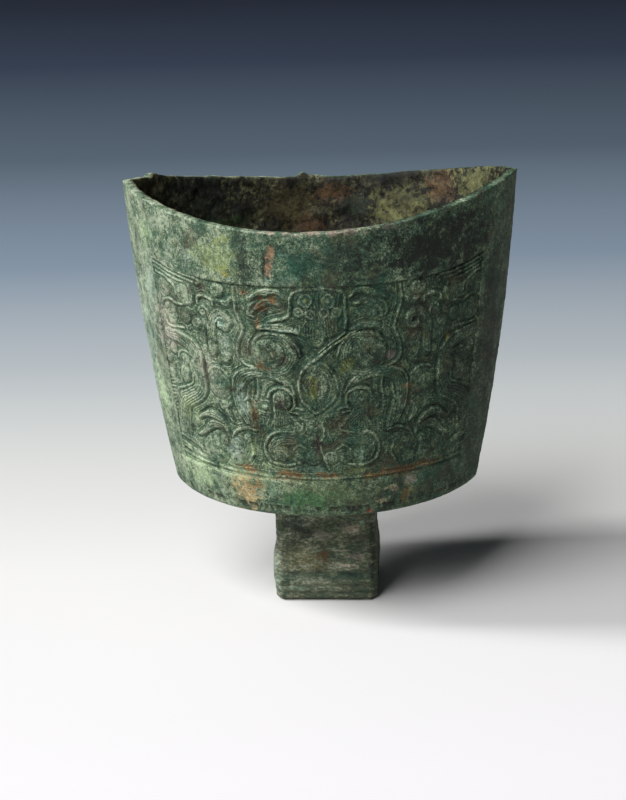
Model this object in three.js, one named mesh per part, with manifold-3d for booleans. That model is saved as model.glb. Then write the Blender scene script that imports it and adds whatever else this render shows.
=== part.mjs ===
// Bronze bell of the early Chinese mouth-up kind, with a mask in relief on both walls.
// Millimetres, +Z up. The origin is the middle of the shank's open end, and -Y is the front.
// The bell is one casting. Its meshes part where the founder's mould sections met: two tile-shaped
// walls along the side ridges, the base plate, and the hollow shank. The chaplets are true separate
// pieces, bronze spacers that held the core off the mould and stay caught in the walls.
import * as THREE from "three";
import { mergeVertices } from "three/addons/utils/BufferGeometryUtils.js";
import Module from "manifold-3d";

const wasm = await Module();
wasm.setup();

// Bell body
const MOUTH_SPAN = 160; // ridge to ridge across the mouth
const MOUTH_DEPTH = 116; // front to back across the mouth
const BASE_SPAN = 129;
const BASE_DEPTH = 88.5;
const BODY_HEIGHT = 131.5; // base underside to the two points of the mouth
const LIP_ARCH = 11.5; // how far the lip dips between its points
const FLANK_SWELL = 0.57; // how much the flanks swell past a straight taper
const WALL = 4;
const LIP_ROUND = 1;
const BASE_THICKNESS = 5;
const BASE_EDGE_ROUND = 2;

// Shank, a hollow box section with rounded corners that swells into a collar at its open end
const SHANK_LENGTH = 51;
const SHANK_WIDTH = 42.5;
const SHANK_DEPTH = 32;
const SHANK_CORNER = 5;
const SHANK_WALL = 4.5;
const SOCKET_CORNER = 3;
const COLLAR_SWELL = [[0, 0.5], [3.6, 0.7], [9.5, 1.2], [15, 1.5], [18, 1.2], [22, 0.9], [28, 0]]; // height, proud
const COLLAR_GROOVES = [[7.3, 1.8, 0.5], [13, 3, 0.9]]; // height, width and depth of the two grooves
const END_ROUND = 1.8;

// Sunken panel that holds the mask
const PANEL_HALF_ANGLE = THREE.MathUtils.degToRad(53);
const PANEL_BOTTOM = 17.3; // above the base underside
const PANEL_TOP = 99.3;
const PANEL_TOP_CORNER = 5.8; // how much higher the panel ends at its corners
const PANEL_SINK = 0.5;

// Relief of the mask
const MASK_UNIT = (PANEL_TOP - PANEL_BOTTOM) / 82; // mm for each unit of the mask's drawing, 82 units high
const MASK_AXIS = 2 * MASK_UNIT; // the mask sits a little off the wall's middle
const RELIEF_ROOT = 1.2; // how deep a relief form roots in the wall
const RELIEF_OVERLAP = 0.4; // how far a form that leaves the panel runs into its side
const RIDGE_WIDTH = 2; // up to this width a band is a ridge, and past it it has a flat top
const BAND_SKIRT = 0.4;
const BAND_SHOULDER = 0.6;
const BAND_STEP = 5.5; // mm of line for each facet of a band

// Chaplets
const CHAPLET_SIDE = 9;
const CHAPLET_UPPER_OFFSET = 21.2; // along the wall from its middle
const CHAPLET_LOWER_OFFSET = 30;
const SEAT_GAP = 0.3;

// How finely the round forms are cut
const WALL_STATIONS = 24;
const WALL_LEVELS = 5;
const PANEL_STATIONS = 12;
const PANEL_LEVELS = 3;
const CORNER_STEPS = 4;
const ROUND_STEPS = 3;
const BOSS_SIDES = 9;

const lerp = THREE.MathUtils.lerp;

// Solids
function solidFrom(positions, index) {
  const geometry = new THREE.BufferGeometry();
  geometry.setAttribute("position", new THREE.Float32BufferAttribute(positions, 3));
  geometry.setIndex(index);
  const merged = mergeVertices(geometry, 1e-4);
  const vertProperties = merged.attributes.position.array;
  const triVerts = new Uint32Array(merged.index.array);
  const solid = new wasm.Manifold(new wasm.Mesh({ numProp: 3, vertProperties, triVerts }));
  if (solid.volume() > 0) return solid;
  return new wasm.Manifold(
    new wasm.Mesh({ numProp: 3, vertProperties, triVerts: triVerts.reverse() }),
  );
}

// Skins closed loops of points one after the other. With an outline, the same loop drawn flat, the
// first and last loops are capped. Without one, the last loop joins the first, as in a ring.
function skin(loops, outline) {
  const count = loops[0].length;
  const index = [];
  const joins = outline ? loops.length - 1 : loops.length;
  for (let i = 0; i < joins; i++) {
    const here = i * count;
    const next = ((i + 1) % loops.length) * count;
    for (let j = 0; j < count; j++) {
      const k = (j + 1) % count;
      index.push(here + j, here + k, next + j, here + k, next + k, next + j);
    }
  }
  if (outline) {
    const last = (loops.length - 1) * count;
    const flipped = THREE.ShapeUtils.isClockWise(outline);
    for (const [a, b, c] of THREE.ShapeUtils.triangulateShape(outline, [])) {
      if (flipped) index.push(a, b, c, last + c, last + b, last + a);
      else index.push(c, b, a, last + a, last + b, last + c);
    }
  }
  return solidFrom(loops.flat().flatMap((p) => [p.x, p.y, p.z]), index);
}

function meshOf(name, solid, material) {
  const { vertProperties, triVerts } = solid.getMesh();
  const geometry = new THREE.BufferGeometry();
  geometry.setAttribute("position", new THREE.BufferAttribute(vertProperties, 3));
  geometry.setIndex(new THREE.BufferAttribute(triVerts, 1));
  geometry.computeVertexNormals();
  const mesh = new THREE.Mesh(geometry, material);
  mesh.name = name;
  return mesh;
}

// The bell's surface
// Both walls are arcs that meet in a ridge at each side. Rise is the height above the base underside.
const FRONT = 1;
const BACK = -1;

function grown(atBase, atMouth, rise) {
  const share = rise / BODY_HEIGHT;
  return lerp(atBase, atMouth, share + FLANK_SWELL * share * (1 - share)) / 2;
}

function wallArc(rise, inset = 0) {
  const halfSpan = grown(BASE_SPAN, MOUTH_SPAN, rise);
  const halfDepth = grown(BASE_DEPTH, MOUTH_DEPTH, rise);
  const outer = (halfSpan ** 2 + halfDepth ** 2) / (2 * halfDepth);
  const centre = outer - halfDepth;
  const radius = outer - inset;
  return { radius, centre, reach: Math.acos(centre / radius) };
}

function wallPoint(face, angle, rise, inset) {
  const { radius, centre } = wallArc(rise, inset);
  return new THREE.Vector3(
    radius * Math.sin(angle),
    face * (centre - radius * Math.cos(angle)),
    SHANK_LENGTH + rise,
  );
}

// The point at a share, from -1 to 1, of the way from the wall's middle to its side ridges.
function wallPointAt(face, share, rise, inset) {
  const point = wallPoint(face, share * wallArc(rise, inset).reach, rise, inset);
  if (Math.abs(share) === 1) point.y = 0;
  return point;
}

const mouthReach = wallArc(BODY_HEIGHT).reach;

function lipRise(angle) {
  const across = Math.sin(angle) / Math.sin(mouthReach);
  return BODY_HEIGHT - LIP_ARCH * (1 - across ** 2);
}

// Walls
function wallSection(lip) {
  const section = [];
  const top = lip - LIP_ROUND;
  for (let i = 0; i <= WALL_LEVELS; i++) {
    section.push([0, lerp(BASE_THICKNESS, top, i / WALL_LEVELS)]);
  }
  for (let i = 1; i <= ROUND_STEPS; i++) {
    const turn = (Math.PI / 2) * (i / ROUND_STEPS);
    section.push([LIP_ROUND * (1 - Math.cos(turn)), top + LIP_ROUND * Math.sin(turn)]);
  }
  const mirrored = section.map(([inset, rise]) => [WALL - inset, rise]).reverse();
  return [...section, ...mirrored];
}

function plainWall(face) {
  const loops = [];
  for (let i = 0; i <= WALL_STATIONS; i++) {
    const share = lerp(-1, 1, i / WALL_STATIONS);
    const section = wallSection(lipRise(share * mouthReach));
    loops.push(section.map(([inset, rise]) => wallPointAt(face, share, rise, inset)));
  }
  const outline = wallSection(lipRise(mouthReach)).map(([inset, rise]) => new THREE.Vector2(inset, rise));
  return skin(loops, outline);
}

// A plate bent to the wall between two angles. rises gives its lower and upper edge at an angle.
function bentPlate(face, fromAngle, toAngle, rises, outerInset, innerInset, stations, levels) {
  const edge = (angle) => {
    const [low, high] = rises(angle);
    const heights = Array.from({ length: levels + 1 }, (_, i) => lerp(low, high, i / levels));
    return [
      ...heights.map((rise) => [outerInset, rise]),
      ...heights.reverse().map((rise) => [innerInset, rise]),
    ];
  };
  const loops = [];
  for (let i = 0; i <= stations; i++) {
    const angle = lerp(fromAngle, toAngle, i / stations);
    loops.push(edge(angle).map(([inset, rise]) => wallPoint(face, angle, rise, inset)));
  }
  const outline = edge(fromAngle).map(([inset, rise]) => new THREE.Vector2(inset, rise));
  return skin(loops, outline);
}

const panelTop = (angle) => PANEL_TOP + PANEL_TOP_CORNER * (angle / PANEL_HALF_ANGLE) ** 4;

// The room of the panel, from clear of the wall's outside down to an inset, widened by an overlap.
function panelRoom(face, inset, overlap) {
  const rises = (angle) => [PANEL_BOTTOM - overlap, panelTop(angle) + overlap];
  const halfAngle = PANEL_HALF_ANGLE + overlap / wallArc(PANEL_BOTTOM).radius;
  const clearOfWall = -WALL;
  return bentPlate(
    face, -halfAngle, halfAngle, rises, clearOfWall, inset, PANEL_STATIONS, PANEL_LEVELS,
  );
}

// Relief of the mask
// Points of the mask are [across, up], along the wall from its middle as seen from outside and over
// the base underside. The mask's drawing is in units, and its forms are scaled when they are made.
// Height is above the panel's floor, or with a minus sign below it.
function reliefPoint(face, across, up, height) {
  const angle = (face * across) / wallArc(up).radius;
  return wallPoint(face, angle, up, PANEL_SINK - height);
}

const sameSide = (across) => across;
const otherSide = (across) => 2 * MASK_AXIS - across;

// The section of a band, a ridge or one with a flat top, as wide at the panel's floor as asked.
function bandSection(half, height, flatTopped) {
  if (flatTopped) {
    const foot = half + BAND_SKIRT;
    return [[-foot, -RELIEF_ROOT], [-half * BAND_SHOULDER, height], [half * BAND_SHOULDER, height], [foot, -RELIEF_ROOT]];
  }
  const foot = (half * (height + RELIEF_ROOT)) / height;
  return [[-foot, -RELIEF_ROOT], [0, height], [foot, -RELIEF_ROOT]];
}

// A raised band along a smooth line. The widths are those at its start, middle and end.
function band(face, side, { points, widths: drawnWidths, height: drawnHeight }) {
  const places = points.map(([x, y]) => new THREE.Vector3(side(x * MASK_UNIT), y * MASK_UNIT, 0));
  const line = new THREE.CatmullRomCurve3(places);
  const widths = drawnWidths.map((drawn) => drawn * MASK_UNIT);
  const height = drawnHeight * MASK_UNIT;
  const width = new THREE.QuadraticBezierCurve(
    new THREE.Vector2(0, widths[0]),
    new THREE.Vector2(0.5, 2 * widths[1] - (widths[0] + widths[2]) / 2),
    new THREE.Vector2(1, widths[2]),
  );
  const steps = Math.max(3, Math.round(line.getLength() / BAND_STEP));
  const loops = [];
  for (let i = 0; i <= steps; i++) {
    const at = line.getPointAt(i / steps);
    const along = line.getTangentAt(i / steps);
    const half = width.getPoint(i / steps).y / 2;
    const section = bandSection(half, height, widths[1] > RIDGE_WIDTH);
    loops.push(section.map(([off, up]) => reliefPoint(face, at.x - along.y * off, at.y + along.x * off, up)));
  }
  const outline = bandSection(1, 1, widths[1] > RIDGE_WIDTH).map(([x, y]) => new THREE.Vector2(x, y));
  return skin(loops, outline);
}

// A round boss with a domed top. Its foot spreads a little, so no side overhangs.
function boss(face, side, { at, radius: drawnRadius, height: drawnHeight }) {
  const [across, up] = at.map((drawn) => drawn * MASK_UNIT);
  const radius = drawnRadius * MASK_UNIT;
  const height = drawnHeight * MASK_UNIT;
  const profile = [
    [radius + BAND_SKIRT, -RELIEF_ROOT],
    [radius, height * 0.4],
    [radius * 0.75, height * 0.8],
    [radius * 0.35, height],
  ];
  const turns = Array.from({ length: BOSS_SIDES }, (_, i) => (2 * Math.PI * i) / BOSS_SIDES);
  const loops = profile.map(([away, lift]) => turns.map((turn) =>
    reliefPoint(face, side(across + away * Math.cos(turn)), up + away * Math.sin(turn), lift)));
  return skin(loops, turns.map((turn) => new THREE.Vector2(Math.cos(turn), Math.sin(turn))));
}

// Forms that cross the mask's axis
const CENTRE_BANDS = [
  { name: "crest edge", points: [[-16.5, 84.6], [-9.6, 88], [-7.6, 95], [-3.4, 98.4], [8.4, 98.4], [12.6, 94.5], [12.8, 83]], widths: [1.2, 1.3, 1.2], height: 0.95 },
  { name: "crest field", points: [[2.6, 96], [2.4, 86], [1.6, 77]], widths: [14, 15, 5], height: 0.4 },
  { name: "nose core", points: [[2.6, 64], [2.4, 58], [2, 51]], widths: [1.4, 6.4, 1.4], height: 0.95 },
  { name: "right edge of the nose", points: [[3.4, 68.4], [7.4, 64], [9, 58.6], [6.8, 52], [1.4, 47.6]], widths: [1.1, 1.3, 1.1], height: 0.85 },
  { name: "strand that becomes the nose's left edge", points: [[19, 82], [9, 76], [0.8, 69.6], [-5.2, 62.6], [-5.8, 54], [0, 47]], widths: [1.1, 1.4, 1.1], height: 1 },
];

const CENTRE_BOSSES = [
  { name: "left eye of the crest", at: [-2, 93.4], radius: 2.3, height: 0.85 },
  { name: "right eye of the crest", at: [6.8, 93.4], radius: 2.3, height: 0.85 },
];

// Forms of the mask's left side, which its right side mirrors
const SIDE_BANDS = [
  { name: "eyelid", points: [[-24, 75.4], [-21.2, 79], [-15.6, 80.8], [-9.4, 79], [-5.4, 72]], widths: [1.1, 1.4, 1.1], height: 0.9 },
  { name: "brow", points: [[-21, 82.4], [-15.6, 83.6], [-10, 83], [-5, 81]], widths: [1.4, 3, 1.2], height: 0.8 },
  { name: "temple ridge", points: [[-31, 98], [-30.6, 88], [-28, 81.6], [-30.6, 74], [-29.6, 68.4], [-25, 66]], widths: [1.1, 1.4, 1.2], height: 0.9 },
  { name: "cheek edge", points: [[-8, 55.6], [-13.6, 62.8], [-23.6, 65.2], [-32.4, 61], [-33.4, 52], [-28, 40.6]], widths: [1.1, 1.4, 1.2], height: 0.8 },
  { name: "cheek", points: [[-11.5, 58.6], [-20, 62], [-28, 59.4], [-29.8, 50.6], [-26, 41]], widths: [1.6, 4.6, 2.4], height: 0.5 },
  { name: "nostril edge", points: [[-18.7, 52.6], [-16.6, 56.8], [-11, 56.8], [-8, 52.6], [-9, 48.4]], widths: [1.2, 1.6, 1.1], height: 1 },
  { name: "nostril stem", points: [[-13.4, 50], [-13, 46], [-11.6, 41]], widths: [4.4, 5.6, 8.4], height: 0.45 },
  { name: "jaw edge", points: [[-5.4, 41.6], [-9, 38.9], [-16.6, 38], [-20.9, 32.6], [-19.4, 25.8], [-13, 23.5], [-9, 24.4]], widths: [1.2, 1.4, 1.1], height: 0.9 },
  { name: "horn", points: [[-42.4, 70], [-42.4, 79], [-39.6, 85.6], [-34.8, 84.6], [-36.4, 80.6]], widths: [3.4, 3.8, 1.8], height: 0.8 },
  { name: "upper hook", points: [[-49, 89.4], [-47.4, 92.4], [-42.6, 92.4], [-40.8, 89.6]], widths: [1.2, 1.5, 1.1], height: 0.8 },
  { name: "lower hook", points: [[-49, 86], [-46.6, 88.2], [-43.8, 84.6]], widths: [1.2, 1.5, 1.1], height: 0.75 },
  { name: "knuckle", points: [[-24.6, 38.2], [-29, 38.9], [-33.4, 37], [-35.6, 33.6]], widths: [1.2, 1.5, 1.1], height: 0.9 },
  { name: "upper feather", points: [[-52.6, 38.8], [-45.5, 42.2], [-37.4, 38]], widths: [1.2, 3.2, 1.2], height: 0.75 },
  { name: "lower feather", points: [[-54, 31], [-47.4, 36.2], [-41, 38], [-36.8, 34.4]], widths: [1.2, 3.2, 1.2], height: 0.7 },
  { name: "dragon edge", points: [[-70, 75.4], [-56, 73.8], [-49, 67], [-47.8, 55], [-50.6, 47.6], [-57.8, 42.6], [-59.4, 31]], widths: [1.1, 1.3, 1.1], height: 0.7 },
  { name: "dragon body", points: [[-66, 72.6], [-54.6, 69.6], [-51.2, 60], [-54, 50], [-62, 44], [-63.6, 32]], widths: [3.6, 4.6, 6.4], height: 0.4 },
  { name: "upper edge of the corner", points: [[-72, 103], [-58, 100.6], [-47.6, 98.8]], widths: [1.1, 1.3, 1.1], height: 0.65 },
  { name: "tail", points: [[-71, 84.4], [-67, 88.4], [-60, 87.2], [-51.6, 90]], widths: [1.1, 1.4, 1.1], height: 0.65 },
];

const SIDE_BOSSES = [
  { name: "eye socket", at: [-15.6, 71.6], radius: 9, height: 0.5 },
  { name: "eyeball", at: [-17.4, 71.9], radius: 6.4, height: 1.6 },
  { name: "nostril", at: [-13, 52.2], radius: 3.6, height: 0.95 },
  { name: "jaw whorl", at: [-14.4, 29.4], radius: 3.6, height: 0.7 },
  { name: "horn boss", at: [-38.5, 95], radius: 2.9, height: 0.95 },
  { name: "whorl under the horn", at: [-40.4, 56.6], radius: 5.2, height: 0.5 },
  { name: "claw whorl", at: [-45, 26], radius: 6.2, height: 0.5 },
  { name: "corner whorl", at: [-65.5, 82], radius: 4.2, height: 0.5 },
  { name: "dragon eye", at: [-59.3, 57.2], radius: 3.2, height: 0.85 },
];

function maskRelief(face) {
  const forms = [
    ...CENTRE_BANDS.map((form) => band(face, sameSide, form)),
    ...CENTRE_BOSSES.map((form) => boss(face, sameSide, form)),
  ];
  for (const side of [sameSide, otherSide]) {
    forms.push(...SIDE_BANDS.map((form) => band(face, side, form)));
    forms.push(...SIDE_BOSSES.map((form) => boss(face, side, form)));
  }
  return wasm.Manifold.union(forms).intersect(panelRoom(face, WALL / 2, RELIEF_OVERLAP));
}

// Chaplets
const chapletUpperRise = (angle) => (panelTop(angle) + lipRise(angle)) / 2;
const chapletLowerRise = () => (BASE_THICKNESS + PANEL_BOTTOM) / 2;

function chapletSeats() {
  const seats = [];
  for (const [level, offset, riseAt] of [
    ["upper", CHAPLET_UPPER_OFFSET, chapletUpperRise],
    ["lower", CHAPLET_LOWER_OFFSET, chapletLowerRise],
  ]) {
    for (const [hand, mirror] of [["left", -1], ["right", 1]]) {
      const radius = wallArc(riseAt(0)).radius;
      const angle = (mirror * offset) / radius;
      seats.push({ name: `${level}_${hand}`, angle, halfAngle: CHAPLET_SIDE / 2 / radius, rise: riseAt(angle), radius });
    }
  }
  return seats;
}

function chaplet(face, { angle, halfAngle, rise, radius }, gap, overrun) {
  const half = CHAPLET_SIDE / 2 + gap;
  const widened = halfAngle + gap / radius;
  const rises = () => [rise - half, rise + half];
  return bentPlate(face, angle - widened, angle + widened, rises, -overrun, WALL + overrun, 4, 1);
}

function bellWall(face) {
  let wall = plainWall(face).subtract(panelRoom(face, PANEL_SINK, 0)).add(maskRelief(face));
  for (const seat of chapletSeats()) {
    wall = wall.subtract(chaplet(face, seat, SEAT_GAP, WALL / 2));
  }
  return wall;
}

// Shank and base plate
function roundedBox(width, depth, corner, height) {
  const loop = [];
  for (const [signX, signY, start] of [[1, 1, 0], [-1, 1, 1], [-1, -1, 2], [1, -1, 3]]) {
    for (let i = 0; i <= CORNER_STEPS; i++) {
      const turn = (Math.PI / 2) * (start + i / CORNER_STEPS);
      loop.push(new THREE.Vector3(
        signX * (width / 2 - corner) + corner * Math.cos(turn),
        signY * (depth / 2 - corner) + corner * Math.sin(turn),
        height,
      ));
    }
  }
  return loop;
}

function socketLoop(height) {
  return roundedBox(SHANK_WIDTH - 2 * SHANK_WALL, SHANK_DEPTH - 2 * SHANK_WALL, SOCKET_CORNER, height);
}

function collarProud(height) {
  for (let i = 1; i < COLLAR_SWELL.length; i++) {
    const [low, proudBelow] = COLLAR_SWELL[i - 1];
    const [high, proudAbove] = COLLAR_SWELL[i];
    if (height <= high) return lerp(proudBelow, proudAbove, (height - low) / (high - low));
  }
  return 0;
}

// Heights up the shank with how far its outside stands proud of the plain section.
function shankProfile() {
  const profile = [];
  for (let i = 0; i <= ROUND_STEPS; i++) {
    const turn = (Math.PI / 2) * (i / ROUND_STEPS);
    const height = END_ROUND * (1 - Math.cos(turn));
    profile.push([height, collarProud(height) - END_ROUND * (1 - Math.sin(turn))]);
  }
  for (const [height, width, depth] of COLLAR_GROOVES) {
    for (const [edge, cut] of [[-width / 2, 0], [0, depth], [width / 2, 0]]) {
      profile.push([height + edge, collarProud(height + edge) - cut]);
    }
  }
  const aboveGrooves = COLLAR_SWELL.filter(([height]) => height > profile.at(-1)[0]);
  return [...profile, ...aboveGrooves, [SHANK_LENGTH, 0]];
}

function shank() {
  const outside = shankProfile().map(([height, proud]) =>
    roundedBox(SHANK_WIDTH + 2 * proud, SHANK_DEPTH + 2 * proud, SHANK_CORNER, height));
  return skin([...outside, socketLoop(SHANK_LENGTH), socketLoop(0)]);
}

function lensLoop(rise, inset) {
  const share = (i) => lerp(-1, 1, i / WALL_STATIONS);
  const front = Array.from({ length: WALL_STATIONS }, (_, i) => wallPointAt(FRONT, share(i), rise, inset));
  const back = Array.from({ length: WALL_STATIONS }, (_, i) => wallPointAt(BACK, -share(i), rise, inset));
  return [...front, ...back];
}

function basePlate() {
  const loops = [];
  for (let i = 0; i <= ROUND_STEPS; i++) {
    const turn = (Math.PI / 2) * (i / ROUND_STEPS);
    loops.push(lensLoop(BASE_EDGE_ROUND * (1 - Math.cos(turn)), BASE_EDGE_ROUND * (1 - Math.sin(turn))));
  }
  loops.push(lensLoop(BASE_THICKNESS, 0));
  const outline = loops[0].map(({ x, y }) => new THREE.Vector2(x, y));
  const plate = skin(loops, outline);
  const overrun = BASE_THICKNESS;
  const hole = [SHANK_LENGTH - overrun, SHANK_LENGTH + BASE_THICKNESS + overrun].map(socketLoop);
  return plate.subtract(skin(hole, hole[0].map(({ x, y }) => new THREE.Vector2(x, y))));
}

// Assembly
const bronze = new THREE.MeshStandardMaterial({ name: "bronze", color: 0x3f5a45, roughness: 0.7, metalness: 0.35 });
const darkBronze = new THREE.MeshStandardMaterial({ name: "shank_bronze", color: 0x3d4538, roughness: 0.75, metalness: 0.3 });
const chapletBronze = new THREE.MeshStandardMaterial({ name: "chaplet_bronze", color: 0x5c5a42, roughness: 0.7, metalness: 0.35 });

const bell = new THREE.Group();
bell.name = "bell";
for (const [label, face] of [["front", FRONT], ["back", BACK]]) {
  bell.add(meshOf(`${label}_wall`, bellWall(face), bronze));
  for (const seat of chapletSeats()) {
    bell.add(meshOf(`${label}_chaplet_${seat.name}`, chaplet(face, seat, 0, 0), chapletBronze));
  }
}
bell.add(meshOf("base_plate", basePlate(), bronze));
bell.add(meshOf("shank", shank(), darkBronze));

export default bell;
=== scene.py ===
import math

import bmesh
import bpy
import numpy as np
from mathutils import Matrix, Vector, noise


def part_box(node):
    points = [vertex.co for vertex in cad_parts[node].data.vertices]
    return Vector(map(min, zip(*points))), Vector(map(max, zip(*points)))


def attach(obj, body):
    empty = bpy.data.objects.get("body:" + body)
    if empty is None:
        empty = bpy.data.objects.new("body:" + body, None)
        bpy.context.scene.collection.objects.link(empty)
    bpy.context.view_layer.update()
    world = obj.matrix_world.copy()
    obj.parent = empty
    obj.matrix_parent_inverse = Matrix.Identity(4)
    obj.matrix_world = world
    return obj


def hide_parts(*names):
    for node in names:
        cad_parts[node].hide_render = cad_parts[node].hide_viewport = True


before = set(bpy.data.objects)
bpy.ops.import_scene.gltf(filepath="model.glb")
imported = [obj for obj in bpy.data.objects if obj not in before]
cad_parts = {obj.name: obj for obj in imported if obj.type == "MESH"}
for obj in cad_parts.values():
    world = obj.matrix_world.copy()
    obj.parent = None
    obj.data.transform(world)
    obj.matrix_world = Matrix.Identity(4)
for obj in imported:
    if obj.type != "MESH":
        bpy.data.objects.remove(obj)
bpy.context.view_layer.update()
MM = 0.001

# Camera
# A long lens looks down on the bell from a little right of its front, and the picture leans by
# under two degrees. The numbers come from fitting the bell's outline to the photograph.
LENS = 69.4
VIEW_DISTANCE = 652.9 * MM
VIEW_DROP = math.radians(18.96)
VIEW_AZIMUTH = math.radians(4.41)
VIEW_LEAN = math.radians(1.74)
VIEW_CENTRE = Vector((-4.67, 0, 86.18)) * MM

camera_turn = Matrix.Rotation(VIEW_AZIMUTH, 3, "Z")
look = camera_turn @ Vector((0, math.cos(VIEW_DROP), -math.sin(VIEW_DROP)))
level_right = camera_turn @ Vector((1, 0, 0))
level_up = level_right.cross(look)
picture_right = level_right * math.cos(VIEW_LEAN) - level_up * math.sin(VIEW_LEAN)
picture_up = level_right * math.sin(VIEW_LEAN) + level_up * math.cos(VIEW_LEAN)
camera = bpy.data.objects.new("camera", bpy.data.cameras.new("camera"))
camera.data.lens = LENS
camera.data.clip_start = 0.02
camera.data.clip_end = 60
camera.matrix_world = Matrix.Translation(camera_turn @ VIEW_CENTRE - look * VIEW_DISTANCE) @ Matrix(
    (picture_right, picture_up, -look)
).transposed().to_4x4()
bpy.context.scene.collection.objects.link(camera)
bpy.context.scene.camera = camera

# Bell walls, their surface
# Two tile-shaped walls of cast bronze meet in a ridge at each side. Every point of them is given
# by its angle round the wall's arc, its rise over the base underside and its depth under the skin.
FRONT = 1
BACK = -1
MOUTH_SPAN = 160
MOUTH_DEPTH = 116
BASE_SPAN = 129
BASE_DEPTH = 88.5
BODY_HEIGHT = 131.5
LIP_ARCH = 11.5
FLANK_SWELL = 0.57
WALL = 4
BODY_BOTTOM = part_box("base_plate")[0].z / MM
PLATE_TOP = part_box("base_plate")[1].z / MM - BODY_BOTTOM


def grown(at_base, at_mouth, rise):
    """Half of a size that grows from base to mouth, a little faster at first."""
    share = rise / BODY_HEIGHT
    return (at_base + (at_mouth - at_base) * (share + FLANK_SWELL * share * (1 - share))) / 2


def wall_arc(rise):
    """The radius of the wall's outside, and how far its centre lies behind the ridges."""
    half_span = grown(BASE_SPAN, MOUTH_SPAN, rise)
    half_depth = grown(BASE_DEPTH, MOUTH_DEPTH, rise)
    radius = (half_span**2 + half_depth**2) / (2 * half_depth)
    return radius, radius - half_depth


def reach(rise, inset=0):
    """The angle round the arc from the wall's middle to its ridges."""
    radius, centre = wall_arc(rise)
    return np.arccos(centre / (radius - inset))


def wall_points(face, share, rise, inset):
    """Points in metres, from the share of the way (-1 to 1) out to the ridges."""
    radius, centre = wall_arc(rise)
    radius = radius - inset
    angle = share * np.arccos(centre / radius)
    across = face * radius * np.sin(angle)
    depth = face * (centre - radius * np.cos(angle))
    return np.stack([across, depth, BODY_BOTTOM + rise], -1) * MM


MOUTH_REACH = float(reach(BODY_HEIGHT))


def lip_rise(angle):
    """The arched lip, highest at the ridges."""
    return BODY_HEIGHT - LIP_ARCH * (1 - (np.sin(angle) / math.sin(MOUTH_REACH)) ** 2)


def corroded(points, grain, amount, seed, octaves=4):
    """An uneven skin: noise of that grain at each point, in millimetres."""
    shift = Vector((seed, 2 * seed, 3 * seed))
    places = points.reshape(-1, 3) / (grain * MM)
    values = [noise.fractal(Vector(p) + shift, 0.9, 2.1, octaves) for p in places]
    return amount * np.array(values).reshape(points.shape[:-1])


# Bell walls, the mask in relief
# A mask with two bossed eyes, a crest, a lozenge nose and a jaw fills a sunken panel on each wall,
# with a dragon at either side and a ground of tiny spirals, all cut into the clay mould.
# Places are (x, z): millimetres along the wall from its middle, and over the base underside.
PANEL_REACH = math.radians(53)
PANEL_BOTTOM = 17.3
PANEL_TOP = 99.3
PANEL_TOP_CORNER = 5.8
PANEL_SINK = 0.5
MASK_AXIS = 2
GROUND_PITCH = 1.15
GROUND_CELL = 3.4
GROUND_RELIEF = 0.19
FURROW_PITCH = 1.1
FURROW = 0.12
ECHO_REACH = 2.5
EDGE = 0.3
HAND_SHAKE = 0.5
TREMOR = 0.22
MOAT_DEPTH = 0.2
MOAT_WIDTH = 0.4
MOAT_FROM_FORM = 0.45
LEAST_WEAR = 0.2
MOST_WEAR = 0.5
CROWN_RUB = 0.38
RING_RUB = 0.35
BOSS_RUB = 0.1


def panel_top(angle):
    """The panel's upper edge, which turns up at its corners."""
    return PANEL_TOP + PANEL_TOP_CORNER * (angle / PANEL_REACH) ** 4


def smooth(low, high, value):
    share = np.clip((value - low) / (high - low), 0, 1)
    return share * share * (3 - 2 * share)


def flat_noise(x, z, grain, seed):
    """A noise of that grain over the unrolled wall, from about -1 to 1."""
    places = zip((x / grain).ravel(), (z / grain).ravel())
    return np.array([noise.noise((u, v, seed)) for u, v in places]).reshape(x.shape)


def smooth_line(points, steps=6):
    """A Catmull-Rom line through the points."""
    padded = np.vstack([2 * points[0] - points[1], points, 2 * points[-1] - points[-2]])
    t = np.linspace(0, 1, steps, endpoint=False)[:, None]
    line = []
    for a, b, c, d in zip(padded, padded[1:], padded[2:], padded[3:]):
        bend = (2 * a - 5 * b + 4 * c - d) * t**2 + (3 * b - a - 3 * c + d) * t**3
        line.append(0.5 * (2 * b + (c - a) * t + bend))
    return np.vstack([*line, points[-1:]])


def line_distance(x, z, line):
    """Each point's distance to the line, and how far along the line it is nearest, from 0 to 1."""
    lengths = np.hypot(*np.diff(line, axis=0).T)
    reached = np.concatenate([[0], np.cumsum(lengths)])
    best = np.full(x.shape, np.inf)
    along = np.zeros(x.shape)
    for (ax, az), (bx, bz), length, start in zip(line, line[1:], lengths, reached):
        share = np.clip(((x - ax) * (bx - ax) + (z - az) * (bz - az)) / max(length**2, 1e-9), 0, 1)
        away = np.hypot(x - ax - share * (bx - ax), z - az - share * (bz - az))
        closer = away < best
        best = np.where(closer, away, best)
        along = np.where(closer, (start + share * length) / reached[-1], along)
    return best, along


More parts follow.
